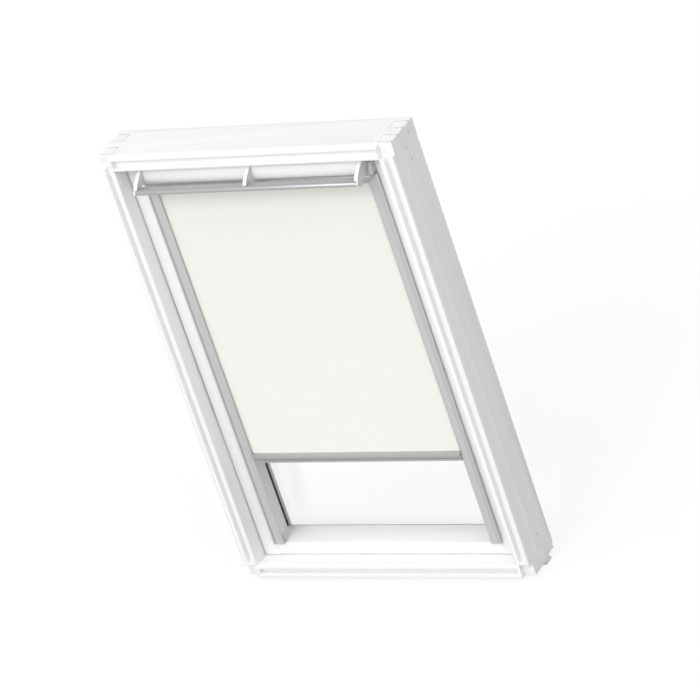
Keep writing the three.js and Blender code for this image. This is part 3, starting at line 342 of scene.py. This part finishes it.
def moulded_plastic(name, colour, roughness, grain_scale, side_colour=None):
    """Moulded plastic; a bracket's flat sides can have a colour of their own."""
    material, tree, surface = new_material(name)
    if side_colour:
        normal = add_node(tree, "ShaderNodeTexCoord").outputs["Normal"]
        sideways = add_node(tree, "ShaderNodeSeparateXYZ", {0: normal}).outputs["X"]
        side = add_node(tree, "ShaderNodeMapRange", {"Value": math_node(tree, "ABSOLUTE", sideways),
            "From Min": SIDE_BEGINS, "From Max": SIDE_FULL, "To Min": 0.0, "To Max": 1.0})
        mixed = add_node(tree, "ShaderNodeMix",
            {0: side.outputs[0], FIRST_COLOUR: colour, SECOND_COLOUR: side_colour}, data_type="RGBA")
        colour = mixed.outputs[MIXED_COLOUR]
    filmed(tree, surface, Colour=colour, Patch_Scale=14.0, Colour_Drift=0.03, Roughness=roughness,
        Roughness_Drift=0.14, Edge_Light=0.06)
    grain = add_effect(tree, GRAIN, Grain_Scale=grain_scale)
    raise_surface(tree, surface, grain, depth=0.00003)
    return material


def anodised_aluminium(name, stretch, colour):
    """Satin anodised extrusion with its drawing lines along the length."""
    material, tree, surface = new_material(name)
    # Edge Light below zero darkens the rounded edges as painted shade.
    filmed(tree, surface, Colour=colour, Patch_Scale=12.0, Colour_Drift=0.04, Roughness=0.34,
        Roughness_Drift=0.1, Edge_Light=-0.7)
    surface.inputs["Metallic"].default_value = 0.35
    lines = add_effect(tree, LINES, Stretch=stretch, Line_Scale=1500.0, Peel_Scale=2400.0,
        Peel_Share=0.2)
    raise_surface(tree, surface, lines, depth=0.000012)
    return material


def grey_lacquer():
    """Matt dark lacquer on folded sheet."""
    material, tree, surface = new_material("grey_cladding_lacquer")
    filmed(tree, surface, Colour=GREY_LACQUER, Patch_Scale=7.0, Colour_Drift=0.12, Roughness=0.55,
        Roughness_Drift=0.16, Edge_Light=0.35)
    surface.inputs["Coat Weight"].default_value = 0.15
    grain = add_effect(tree, GRAIN, Grain_Scale=900.0)
    raise_surface(tree, surface, grain, depth=0.00003)
    return material


def zinc_plate():
    """Zinc-plated steel with the cloudy patches of its plating."""
    material, tree, surface = new_material("zinc_plated_steel")
    filmed(tree, surface, Colour=ZINC, Patch_Scale=160.0, Colour_Drift=0.22, Roughness=0.34,
        Roughness_Drift=0.22, Edge_Light=0.2)
    surface.inputs["Metallic"].default_value = 1.0
    grain = add_effect(tree, GRAIN, Grain_Scale=2600.0)
    raise_surface(tree, surface, grain, depth=0.000015)
    return material


def spring_wire():
    """Drawn steel wire."""
    material, tree, surface = new_material("drawn_spring_wire")
    filmed(tree, surface, Colour=SPRING_STEEL, Patch_Scale=90.0, Colour_Drift=0.2, Roughness=0.36,
        Roughness_Drift=0.16, Edge_Light=0.0)
    surface.inputs["Metallic"].default_value = 1.0
    lines = add_effect(tree, LINES, Stretch=(1.0, 1.0, 1.0), Line_Scale=3000.0, Peel_Scale=900.0,
        Peel_Share=0.5)
    raise_surface(tree, surface, lines, depth=0.00001)
    return material


def black_rubber():
    """Matt rubber of the seals."""
    material, tree, surface = new_material("black_rubber_seal")
    filmed(tree, surface, Colour=RUBBER, Patch_Scale=40.0, Colour_Drift=0.4, Roughness=0.72,
        Roughness_Drift=0.2, Edge_Light=0.4)
    grain = add_effect(tree, GRAIN, Grain_Scale=1400.0)
    raise_surface(tree, surface, grain, depth=0.00005)
    return material


def clear_glass():
    """Float glass: faint long waves and a green-blue cast. Light and shadow pass straight through."""
    material, tree, surface = new_material("clear_float_glass")
    film = add_effect(tree, FILM, Colour=GLASS, Patch_Scale=2.0, Colour_Drift=0.01,
        Roughness=0.0, Roughness_Drift=0.0, Edge_Light=0.0)
    tree.links.new(film.outputs["Colour"], surface.inputs["Base Color"])
    surface.inputs["Roughness"].default_value = 0.0
    surface.inputs["IOR"].default_value = 1.5
    surface.inputs["Transmission Weight"].default_value = 1.0
    waves = add_effect(tree, LINES, Stretch=(1.0, 1.0, 0.2), Line_Scale=14.0, Peel_Scale=4.0,
        Peel_Share=1.0)
    raise_surface(tree, surface, waves, depth=0.00001)
    path = add_node(tree, "ShaderNodeLightPath")
    lighting = math_node(tree, "MAXIMUM", path.outputs["Is Shadow Ray"], path.outputs["Is Diffuse Ray"])
    passing = add_node(tree, "ShaderNodeBsdfTransparent", {"Color": GLASS_SHADOW})
    mixed = add_node(tree, "ShaderNodeMixShader",
        {0: lighting, 1: surface.outputs[0], 2: passing.outputs[0]})
    tree.links.new(mixed.outputs[0], tree.nodes["Material Output"].inputs["Surface"])
    return material


def blind_fabric():
    """Plain off-white woven cloth."""
    material, tree, surface = new_material("blind_fabric_weave")
    weave = add_effect(tree, WEAVE, Colour=CLOTH, Gap_Shade=0.06, Slub_Shade=0.03)
    tree.links.new(weave.outputs["Colour"], surface.inputs["Base Color"])
    surface.inputs["Roughness"].default_value = 0.88
    surface.inputs["Sheen Weight"].default_value = 0.08
    surface.inputs["Specular IOR Level"].default_value = 0.25
    raise_surface(tree, surface, weave, depth=0.00006)
    return material


# The stretch of the fine lines on a member that stands and on one that lies across
UPRIGHT = (1.0, 1.0, 0.012)
LENGTHWISE = (0.012, 1.0, 1.0)
finishes = {
    "timber_upright": painted_timber("painted_timber_upright", UPRIGHT),
    "timber_across": painted_timber("painted_timber_across", LENGTHWISE),
    "aluminium_upright": anodised_aluminium("anodised_aluminium_upright", UPRIGHT, ALUMINIUM_UPRIGHT),
    "aluminium_across": anodised_aluminium("anodised_aluminium_across_shaded", LENGTHWISE, ALUMINIUM_ACROSS_SHADED),
    "foot_plastic": moulded_plastic("moulded_foot_plastic", FOOT_PLASTIC, 0.55, 1500.0),
    "grey_plastic": moulded_plastic("moulded_grey_plastic", GREY_PLASTIC, 0.48, 1800.0),
    "white_plastic": moulded_plastic("moulded_white_plastic", WHITE_PLASTIC, 0.36, 2200.0),
    "bracket_plastic": moulded_plastic("moulded_bracket_plastic", WHITE_PLASTIC, 0.36, 2200.0,
        BRACKET_SIDE),
    "grey_cladding": grey_lacquer(),
    "zinc_steel": zinc_plate(),
    "spring_steel": spring_wire(),
    "black_rubber": black_rubber(),
    "clear_glass": clear_glass(),
    "blind_fabric": blind_fabric(),
}


def finish_of(node):
    """The finish of a CAD node: timber and aluminium follow the direction that the member runs in, and
    aluminium that lies across takes the darker colour that is painted shade.
    """
    if node.startswith("bar_bracket"):
        return finishes["bracket_plastic"]
    slot = slot_of_node[node]
    low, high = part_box(node)
    way = "upright" if high[2] - low[2] > high[0] - low[0] else "across"
    if slot == "painted_timber":
        return finishes["timber_" + way]
    if slot == "bare_aluminium":
        return finishes["aluminium_" + way]
    return finishes[slot]


# Pieces

SAME_PLACE = 0.000002
FLAT_ANGLE = 0.6
SHORTEST_EDGE = 0.000005
ROUNDED_FROM = 26
CURVED_ROUNDED_FROM = 34
CURVED_MEMBERS = ("vent_flap", "control_bar")


def show(name, data, finish, body, slot, *replaced):
    """A finished mesh or curve as a piece that rides on a body and stands for its CAD nodes."""
    data.materials.clear()
    data.materials.append(finish)
    piece = bpy.data.objects.new(name, data)
    link(piece)
    if body:
        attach(piece, body)
    if replaced:
        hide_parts(*replaced)
    return piece


def joined_flats(node):
    """A CAD node's mesh with its triangles joined into whole flat faces."""
    made = bmesh.new()
    made.from_mesh(nodes[node].data)
    bmesh.ops.remove_doubles(made, verts=made.verts, dist=SAME_PLACE)
    bmesh.ops.dissolve_limit(made, angle_limit=math.radians(FLAT_ANGLE), verts=made.verts,
        edges=made.edges)
    bmesh.ops.dissolve_degenerate(made, edges=made.edges, dist=SHORTEST_EDGE)
    return made


def bevelled(made, name, radius, steps, rounded_from=ROUNDED_FROM):
    """The mesh with its edges rounded, and the rounded faces marked for the finish: most finishes
    lighten them as wear, the aluminium darkens them as painted shade. The second of two empty material
    slots tells the rounded faces from the flat ones."""
    rough = mesh_from(made, name + "_sharp")
    shade_smooth(rough)
    rough.materials.append(None)
    rough.materials.append(None)
    carrier = bpy.data.objects.new(name + "_sharp", rough)
    link(carrier)
    bevel = carrier.modifiers.new("rounding", "BEVEL")
    bevel.width = radius
    bevel.segments = steps
    bevel.limit_method = "ANGLE"
    bevel.angle_limit = math.radians(rounded_from)
    bevel.use_clamp_overlap = True
    bevel.harden_normals = True
    bevel.material = 1
    evaluated = carrier.evaluated_get(bpy.context.evaluated_depsgraph_get())
    mesh = bpy.data.meshes.new_from_object(evaluated)
    mesh.name = name
    edge = mesh.attributes.new("edge_wear_and_shade", "FLOAT", "FACE")
    edge.data.foreach_set("value", [float(polygon.material_index) for polygon in mesh.polygons])
    mesh.polygons.foreach_set("material_index", [0] * len(mesh.polygons))
    bpy.data.objects.remove(carrier)
    bpy.data.meshes.remove(rough)
    return mesh


def rounded_member(node, radius, steps):
    """A CAD member with softly rounded edges."""
    name = node + "_finished"
    rounded_from = CURVED_ROUNDED_FROM if node in CURVED_MEMBERS else ROUNDED_FROM
    mesh = bevelled(joined_flats(node), name, radius, steps, rounded_from)
    return show(name, mesh, finish_of(node), body_of_node[node], slot_of_node[node], node)


# Where the grooves and notches of the comb joints lie: how far in from the outer side, how far to the
# front and the back, how far down from the top, and how much their faces look up
SEAMED_MEMBERS = ("frame_jamb_left", "frame_jamb_right", "frame_head")
COMB_SPAN_X = (0.0006, 0.038)
COMB_SPAN_Y = (-0.046, 0.060)
COMB_SPAN_DOWN = (0.0001, 0.0032)
COMB_SLOPE = (0.1, 0.95)
COMB_NOTCH = 0.0032
FINGER_END_SHARE = 0.4


def paint_shade_in_seams(piece):
    """Marks the faces of the comb joint's grooves and notches for painted shade; the seams across the
    ends of the fingers are tighter and get less of it."""
    half, top = cad_box[1].x, cad_box[1].z
    values = []
    for polygon in piece.data.polygons:
        centre = polygon.center
        inward = half - abs(centre.x)
        measures = ((inward, COMB_SPAN_X), (centre.y, COMB_SPAN_Y), (top - centre.z, COMB_SPAN_DOWN),
            (polygon.normal.z, COMB_SLOPE))
        painted_seam_shade = all(least < measure < most for measure, (least, most) in measures)
        at_finger_end = abs(polygon.normal.x) > abs(polygon.normal.y) and inward > COMB_NOTCH
        values.append(painted_seam_shade * (FINGER_END_SHARE if at_finger_end else 1.0))
    mark = piece.data.attributes.new("painted_seam_shade", "FLOAT", "FACE")
    mark.data.foreach_set("value", values)


# Members of the frame, the sash, the ventilation flap and the blind. Each row has the endings of the
# names, then each name's stem with the radius of its edges and the number of steps in their round.

WHOLE_NAME = ("",)

FRAME_MEMBERS = (
    (SIDES, (
        ("frame_jamb_", 0.0010, 3),
        ("frame_foot_", 0.0008, 3),
        ("frame_cover_", 0.0003, 2),
        ("frame_pivot_", 0.0003, 2))),
    (WHOLE_NAME, (
        ("frame_head", 0.0010, 3),
        ("frame_sill", 0.0010, 3),
        ("frame_hood", 0.0003, 2),
        ("frame_apron", 0.0003, 2),
        ("lock_striker", 0.0002, 2))),
)

SASH_MEMBERS = (
    (SIDES, (
        ("sash_stile_", 0.0005, 2),
        ("sash_cover_", 0.0003, 2),
        ("sash_pivot_", 0.0003, 2))),
    (("bottom", "top"), (
        ("sash_rail_", 0.0005, 2),
        ("sash_cover_", 0.0003, 2))),
    (("upper", "lower"), (
        ("sash_seal_", 0.0014, 4),)),
    (WHOLE_NAME, (
        ("glazing_gasket", 0.0004, 2),
        ("glass_spacer", 0.0004, 2),
        ("glass_inner_pane", 0.0005, 2),
        ("glass_outer_pane", 0.0005, 2),
        ("lock_case", 0.0004, 2),
        ("lock_tongue", 0.0006, 2))),
)

FLAP_MEMBERS = (
    (SIDES, (
        ("vent_bearing_", 0.0010, 3),
        ("bar_bracket_", 0.0007, 3))),
    (WHOLE_NAME, (
        ("vent_flap", 0.0005, 2),
        ("control_bar", 0.0004, 2),
        ("bar_bracket_centre", 0.0008, 3))),
)

BLIND_MEMBERS = (
    (SIDES, (
        ("blind_channel_", 0.0006, 2),
        ("casing_end_", 0.0005, 2),
        ("roller_plug_", 0.0004, 2),
        ("bottom_bar_guide_", 0.0010, 3))),
    (WHOLE_NAME, (
        ("blind_casing", 0.0006, 2),
        ("bottom_bar", 0.0003, 2))),
)


def rounded_members(rows):
    for endings, stems in rows:
        for ending in endings:
            for stem, radius, steps in stems:
                piece = rounded_member(stem + ending, radius, steps)
                if stem + ending in SEAMED_MEMBERS:
                    paint_shade_in_seams(piece)


# Screws. The shares are of the head's radius, those of the point are of the shank's radius, and the
# taper's is of the recess at its mouth.

SCREW_SIDES = 28
SCREW_SHARP_FROM = 30
SHANK_SHARE = 0.55
POINT_END_SHARE = 0.3
POINT_LENGTH_SHARE = 2
NECK_DEPTH_SHARE = 0.75
RIM_DEPTH_SHARE = 0.12
CROWN_SHARE = 0.93
CROWN_RISE_SHARE = 0.05
RECESS_REACH_SHARE = 0.6
RECESS_HALF_WIDTH_SHARE = 0.11
RECESS_DEPTH_SHARE = 0.45
RECESS_OVER_SHARE = 0.2
RECESS_TAPER_SHARE = 0.45
RECESS_TURN = 45
FRAME_SCREW_RADIUS = 0.0044
FRAME_SCREW_SUNK = 0.0002
FRAME_SCREW_END_ROOM = 0.001


def turned(made, outline, sides, centre, axis):
    """Adds a turned form: the outline is [radius, place along the axis]."""
    turn = axis.to_track_quat("Z", "Y").to_matrix()
    rings = []
    for radius, along in outline:
        if radius == 0:
            rings.append([made.verts.new(centre + axis * along)])
            continue
        ring = []
        for i in range(sides):
            angle = 2 * math.pi * i / sides
            ring.append(made.verts.new(
                centre + turn @ Vector((radius * math.cos(angle), radius * math.sin(angle), along))))
        rings.append(ring)
    for lower, upper in zip(rings, rings[1:]):
        for i in range(sides):
            j = (i + 1) % sides
            corners = [lower[i % len(lower)], lower[j % len(lower)],
                upper[j % len(upper)], upper[i % len(upper)]]
            made.faces.new(list(dict.fromkeys(corners)))


def screw_mesh(name, centre, axis, head_radius, length):
    """A countersunk screw: its head's middle at the centre, its shank against the axis."""
    made = bmesh.new()
    shank = head_radius * SHANK_SHARE
    crown_rise = head_radius * CROWN_RISE_SHARE
    outline = [
        (0, -length),
        (shank * POINT_END_SHARE, -length),
        (shank, -length + shank * POINT_LENGTH_SHARE),
        (shank, -head_radius * NECK_DEPTH_SHARE),
        (head_radius, -head_radius * RIM_DEPTH_SHARE),
        (head_radius, 0),
        (head_radius * CROWN_SHARE, crown_rise),
        (0, crown_rise),
    ]
    turned(made, outline, SCREW_SIDES, centre, axis)
    bmesh.ops.recalc_face_normals(made, faces=made.faces)
    return mesh_from(made, name)


def cross_cutter(centre, axis, head_radius):
    """Two crossed wedges that leave the recess for a driver."""
    made = bmesh.new()
    turn = axis.to_track_quat("Z", "Y").to_matrix()
    reach = head_radius * RECESS_REACH_SHARE
    half = head_radius * RECESS_HALF_WIDTH_SHARE
    mouth = (1.0, head_radius * RECESS_OVER_SHARE)
    floor = (RECESS_TAPER_SHARE, -head_radius * RECESS_DEPTH_SHARE)
    for quarter in (0, 1):
        spin = Matrix.Rotation(math.radians(RECESS_TURN + 90 * quarter), 3, "Z")
        corners = []
        for share, along in (mouth, floor):
            for x, y in ((-reach, -half), (reach, -half), (reach, half), (-reach, half)):
                corner = spin @ Vector((x * share, y * share, along))
                corners.append(made.verts.new(centre + turn @ corner))
        made.faces.new(corners[3::-1])
        made.faces.new(corners[4:])
        for i in range(4):
            j = (i + 1) % 4
            made.faces.new([corners[i], corners[j], corners[j + 4], corners[i + 4]])
    bmesh.ops.recalc_face_normals(made, faces=made.faces)
    return mesh_from(made, "driver_recess")


def cross_screw(name, centre, axis, head_radius, length):
    """A countersunk screw with a cross cut in its head."""
    mesh = screw_mesh(name, centre, axis, head_radius, length)
    cutter = bpy.data.objects.new("driver_recess", cross_cutter(centre, axis, head_radius))
    carrier = bpy.data.objects.new(name + "_blank", mesh)
    for item in (cutter, carrier):
        link(item)
    cut = carrier.modifiers.new("recess", "BOOLEAN")
    cut.operation = "DIFFERENCE"
    cut.solver = "EXACT"
    cut.use_self = True
    cut.object = cutter
    evaluated = carrier.evaluated_get(bpy.context.evaluated_depsgraph_get())
    finished = bpy.data.meshes.new_from_object(evaluated)
    finished.name = name
    for item in (cutter, carrier):
        old = item.data
        bpy.data.objects.remove(item)
        bpy.data.meshes.remove(old)
    shade_smooth(finished)
    finished.set_sharp_from_angle(angle=math.radians(SCREW_SHARP_FROM))
    return finished


def frame_screws():
    for side, sign in SIGNED_SIDES:
        for number in (1, 2, 3, 4):
            node = f"frame_screw_{number}_{side}"
            low, high = corners_of(node)
            middle = (low + high) / 2
            face = high.x if sign > 0 else low.x
            centre = Vector((face - sign * FRAME_SCREW_SUNK, middle.y, middle.z))
            mesh = cross_screw(node + "_finished", centre, Vector((sign, 0, 0)), FRAME_SCREW_RADIUS,
                high.x - low.x - FRAME_SCREW_END_ROOM)
            show(node + "_finished", mesh, finishes["zinc_steel"], "frame", "zinc_steel", node)


# Roller, its spring and the cloth

ROLLER_SIDES = 48
low_roll, high_roll = corners_of("cloth_roll")
ROLLER_CENTRE = (low_roll + high_roll) / 2
ROLL_RADIUS = (high_roll.z - low_roll.z) / 2
TUBE_WALL = 0.001
TUBE_ROUNDING = 0.0002
KEY_GROOVE_DEPTH = 0.0006
KEY_GROOVE_STEPS = (0, 1)


def round_the_roller(x, angle, radius):
    """The point at an angle and a radius round the roller's axis."""
    way = Vector((0, math.cos(angle), math.sin(angle)))
    return Vector((x, ROLLER_CENTRE.y, ROLLER_CENTRE.z)) + way * radius


def roller_tube():
    """Drawn tube with a shallow key groove along it."""
    low, high = corners_of("roller_tube")
    radius = (high.z - low.z) / 2
    bore = radius - TUBE_WALL
    made = bmesh.new()
    rings = []
    for x in (low.x, high.x):
        outer, inner = [], []
        for i in range(ROLLER_SIDES):
            angle = 2 * math.pi * i / ROLLER_SIDES
            drop = KEY_GROOVE_DEPTH if i in KEY_GROOVE_STEPS else 0.0
            outer.append(made.verts.new(round_the_roller(x, angle, radius - drop)))
            inner.append(made.verts.new(round_the_roller(x, angle, bore - drop)))
        rings.append((outer, inner))
    (outer_left, inner_left), (outer_right, inner_right) = rings
    for i in range(ROLLER_SIDES):
        j = (i + 1) % ROLLER_SIDES
        made.faces.new([outer_left[i], outer_left[j], outer_right[j], outer_right[i]])
        made.faces.new([inner_left[j], inner_left[i], inner_right[i], inner_right[j]])
        made.faces.new([outer_left[j], outer_left[i], inner_left[i], inner_left[j]])
        made.faces.new([outer_right[i], outer_right[j], inner_right[j], inner_right[i]])
    bmesh.ops.recalc_face_normals(made, faces=made.faces)
    mesh = bevelled(made, "roller_tube_finished", TUBE_ROUNDING, steps=2)
    show("roller_tube_finished", mesh, finishes["aluminium_across"], "roller", "bare_aluminium",
        "roller_tube")


SPRING_TURNS = 12
SPRING_STEPS = 20
SPRING_WIRE = 0.0009


def roller_spring():
    """Round wire wound inside the tube."""
    low, high = corners_of("roller_spring")
    radius = (high.z - low.z) / 2 - SPRING_WIRE
    curve = bpy.data.curves.new("roller_spring_finished", "CURVE")
    curve.dimensions = "3D"
    curve.bevel_depth = SPRING_WIRE
    curve.bevel_resolution = 3
    curve.use_fill_caps = True
    count = SPRING_TURNS * SPRING_STEPS + 1
    line = curve.splines.new("POLY")
    line.points.add(count - 1)
    for i in range(count):
        share = i / (count - 1)
        angle = 2 * math.pi * SPRING_TURNS * share
        x = high.x - SPRING_WIRE - share * (high.x - low.x - 2 * SPRING_WIRE)
        y = ROLLER_CENTRE.y + radius * math.cos(angle)
        z = ROLLER_CENTRE.z + radius * math.sin(angle)
        line.points[i].co = (x, y, z, 1)
    show("roller_spring_finished", curve, finishes["spring_steel"], "roller", "spring_steel",
        "roller_spring")


CLOTH_HALF_WIDTH = high_roll.x
CLOTH_THICKNESS = 0.00036
CLOTH_SHARP_FROM = 40
ROLL_TURNS = 2.6
ROLL_STEPS = 40


def wound_cloth():
    """The turns of cloth on the roller, as one spiral strip with its own thickness."""
    low, high = corners_of("roller_tube")
    core = (high.z - low.z) / 2 + CLOTH_THICKNESS
    rim = ROLL_RADIUS - CLOTH_THICKNESS / 2
    count = int(ROLL_TURNS * ROLL_STEPS)
    made = bmesh.new()
    rows = []
    for i in range(count + 1):
        share = i / count
        radius = core + (rim - core) * share
        angle = math.pi + 2 * math.pi * ROLL_TURNS * (share - 1)
        rows.append([made.verts.new(round_the_roller(x, angle, radius))
            for x in (-CLOTH_HALF_WIDTH, CLOTH_HALF_WIDTH)])
    for before, after in zip(rows, rows[1:]):
        made.faces.new([before[0], before[1], after[1], after[0]])
    bmesh.ops.recalc_face_normals(made, faces=made.faces)
    bmesh.ops.solidify(made, geom=made.faces, thickness=CLOTH_THICKNESS)
    mesh = mesh_from(made, "cloth_roll_wound")
    shade_smooth(mesh)
    mesh.set_sharp_from_angle(angle=math.radians(CLOTH_SHARP_FROM))
    piece = show("cloth_roll_wound", mesh, finishes["blind_fabric"], "roller", "blind_fabric",
        "cloth_roll")


CLOTH_COLUMNS = 60
CLOTH_ROWS = 72
BLEND_LEAN = 0.0002
HALVINGS = 40


def even_share(target):
    """The place between two bodies at which the blend's weight is the target."""
    low, high = 0.0, 1.0
    for _ in range(HALVINGS):
        middle = (low + high) / 2
        if middle * middle * (3 - 2 * middle) < target:
            low = middle
        else:
            high = middle
    return (low + high) / 2


def hanging_cloth():
    """The drawn cloth: one flat sheet from the roller to the bottom bar. It leans by a hair over its
    length, each row placed where a smoothstep weight reaches the row's share."""
    low, high = corners_of("blind_cloth")
    top = ROLLER_CENTRE.z
    y0 = (low.y + high.y) / 2 - BLEND_LEAN / 2
    made = bmesh.new()
    rows = []
    for row in range(CLOTH_ROWS + 1):
        share = row / CLOTH_ROWS
        z = top + (low.z - top) * share
        y = y0 + BLEND_LEAN * even_share(share)
        rows.append([made.verts.new((low.x + (high.x - low.x) * i / CLOTH_COLUMNS, y, z))
            for i in range(CLOTH_COLUMNS + 1)])
    for upper, lower in zip(rows, rows[1:]):
        for i in range(CLOTH_COLUMNS):
            made.faces.new([upper[i], lower[i], lower[i + 1], upper[i + 1]])
    mesh = mesh_from(made, "blind_cloth_sheet")
    shade_smooth(mesh)
    piece = show("blind_cloth_sheet", mesh, finishes["blind_fabric"], None, "blind_fabric",
        "blind_cloth")
    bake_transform(piece)


# Screws of the pivot plates, which the CAD leaves out

PLATE_SCREW_RADIUS = 0.0032
PLATE_SCREW_LENGTH = 0.002
PLATE_SCREW_SUNK = 0.0001
PLATE_SCREW_INSET_Y = 0.009
PLATE_SCREW_INSET_Z = 0.010
FRAME_PLATE_THICKNESS = 0.003


def plate_screws(name, body, places, axis):
    """Countersunk screws in a fitting, as one piece."""
    whole = bmesh.new()
    for centre in places:
        one = cross_screw("plate_screw", centre, axis, PLATE_SCREW_RADIUS, PLATE_SCREW_LENGTH)
        whole.from_mesh(one)
        bpy.data.meshes.remove(one)
    show(name, mesh_from(whole, name), finishes["zinc_steel"], body, "zinc_steel")


def head_middle_x(kind, side, sign):
    """X of the middle of a screw's head, just under the visible face of the pivot plate."""
    low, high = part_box(f"{kind}_pivot_{side}")
    outer = high[0] if sign > 0 else low[0]
    if kind == "sash":
        return outer - sign * PLATE_SCREW_SUNK
    return outer - sign * FRAME_PLATE_THICKNESS + sign * PLATE_SCREW_SUNK


def fitting_screws():
    for side, sign in SIGNED_SIDES:
        for kind, facing in (("frame", -sign), ("sash", sign)):
            low, high = corners_of(f"{kind}_pivot_{side}")
            x = head_middle_x(kind, side, sign)
            places = [Vector((x, y, z))
                for y in (low.y + PLATE_SCREW_INSET_Y, high.y - PLATE_SCREW_INSET_Y)
                for z in (low.z + PLATE_SCREW_INSET_Z, high.z - PLATE_SCREW_INSET_Z)]
            plate_screws(f"{kind}_pivot_screws_{side}", kind, places, Vector((facing, 0, 0)))


# Floor, light and background

WHITE = (1, 1, 1, 1)
SKY_BACK = 0.42
SKY_FRONT = 1.13
SKY_FADE = 0.25
SKY_ABOVE = 0.12
SKY_ABOVE_POWER = 2.0
SKY_SEEN = 1.0
KEY_STRENGTH = 0.9
KEY_WIDTH = 24
KEY_PLACE = Vector((-0.3, -3.6, 3.3))
KEY_TARGET = Vector((0, 0, 0.3))
FLOOR_REACH = 30
FLOOR_GAP = 0.0002
FLOOR_LIT = (0.45, 0.45, 0.45, 1)
FLOOR_SHOWN = (0.14, 0.14, 0.14, 1)
FLOOR_GLOW = 0.86


def seen_mask(tree):
    """One where a ray comes from the camera, a mirror or glass."""
    path = add_node(tree, "ShaderNodeLightPath")
    seen = math_node(tree, "MAXIMUM", path.outputs["Is Camera Ray"], path.outputs["Is Glossy Ray"])
    return math_node(tree, "MAXIMUM", seen, path.outputs["Is Transmission Ray"])


def set_world():
    """A white background, and a soft sky that is brighter on the room side and a little above."""
    world = bpy.data.worlds.new("studio_sky")
    world.use_nodes = True
    tree = world.node_tree
    background = tree.nodes["Background"]
    background.inputs["Color"].default_value = WHITE
    direction = add_node(tree, "ShaderNodeTexCoord").outputs["Generated"]
    split = add_node(tree, "ShaderNodeSeparateXYZ", {0: direction}).outputs
    round_the_object = add_node(tree, "ShaderNodeMapRange",
        {"Value": split["Y"], "From Min": SKY_FADE, "From Max": -SKY_FADE,
            "To Min": SKY_BACK, "To Max": SKY_FRONT}, interpolation_type="SMOOTHSTEP")
    upward = math_node(tree, "MAXIMUM", split["Z"], 0.0)
    above = math_node(tree, "POWER", upward, SKY_ABOVE_POWER)
    sky = math_node(tree, "MULTIPLY_ADD", above, SKY_ABOVE, round_the_object.outputs[0])
    strength = add_node(tree, "ShaderNodeMix",
        {0: seen_mask(tree), FIRST_NUMBER: sky, SECOND_NUMBER: SKY_SEEN}).outputs[0]
    tree.links.new(strength, background.inputs["Strength"])
    bpy.context.scene.world = world


def set_floor():
    """A pale floor that shows white and keeps the object's shadow."""
    made = bmesh.new()
    bmesh.ops.create_grid(made, x_segments=1, y_segments=1, size=FLOOR_REACH)
    mesh = mesh_from(made, "studio_floor")
    material = bpy.data.materials.new("studio_floor_pale")
    material.use_nodes = True
    tree = material.node_tree
    tree.nodes.remove(tree.nodes["Principled BSDF"])
    lit = add_node(tree, "ShaderNodeBsdfDiffuse", {"Color": FLOOR_LIT})
    shade = add_node(tree, "ShaderNodeBsdfDiffuse", {"Color": FLOOR_SHOWN})
    glow = add_node(tree, "ShaderNodeEmission", {"Color": WHITE, "Strength": FLOOR_GLOW})
    shown = add_node(tree, "ShaderNodeAddShader", {0: shade.outputs[0], 1: glow.outputs[0]})
    mixed = add_node(tree, "ShaderNodeMixShader",
        {0: seen_mask(tree), 1: lit.outputs[0], 2: shown.outputs[0]})
    tree.links.new(mixed.outputs[0], tree.nodes["Material Output"].inputs["Surface"])
    mesh.materials.append(material)
    floor = bpy.data.objects.new("studio_floor", mesh)
    floor.location = (0, 0, cad_box[0].z - FLOOR_GAP)
    link(floor)


def set_light():
    """One soft lamp from the front and above."""
    key = bpy.data.lights.new("key_light", "SUN")
    key.energy = KEY_STRENGTH
    key.angle = math.radians(KEY_WIDTH)
    lamp = bpy.data.objects.new("key_light", key)
    lamp.location = KEY_PLACE
    lamp.rotation_euler = (KEY_TARGET - KEY_PLACE).to_track_quat("-Z", "Y").to_euler()
    link(lamp)


set_camera()
for rows in (FRAME_MEMBERS, SASH_MEMBERS, FLAP_MEMBERS, BLIND_MEMBERS):
    rounded_members(rows)
frame_screws()
roller_tube()
roller_spring()
wound_cloth()
hanging_cloth()
fitting_screws()
set_world()
set_floor()
set_light()
bpy.context.scene.view_settings.view_transform = "Standard"
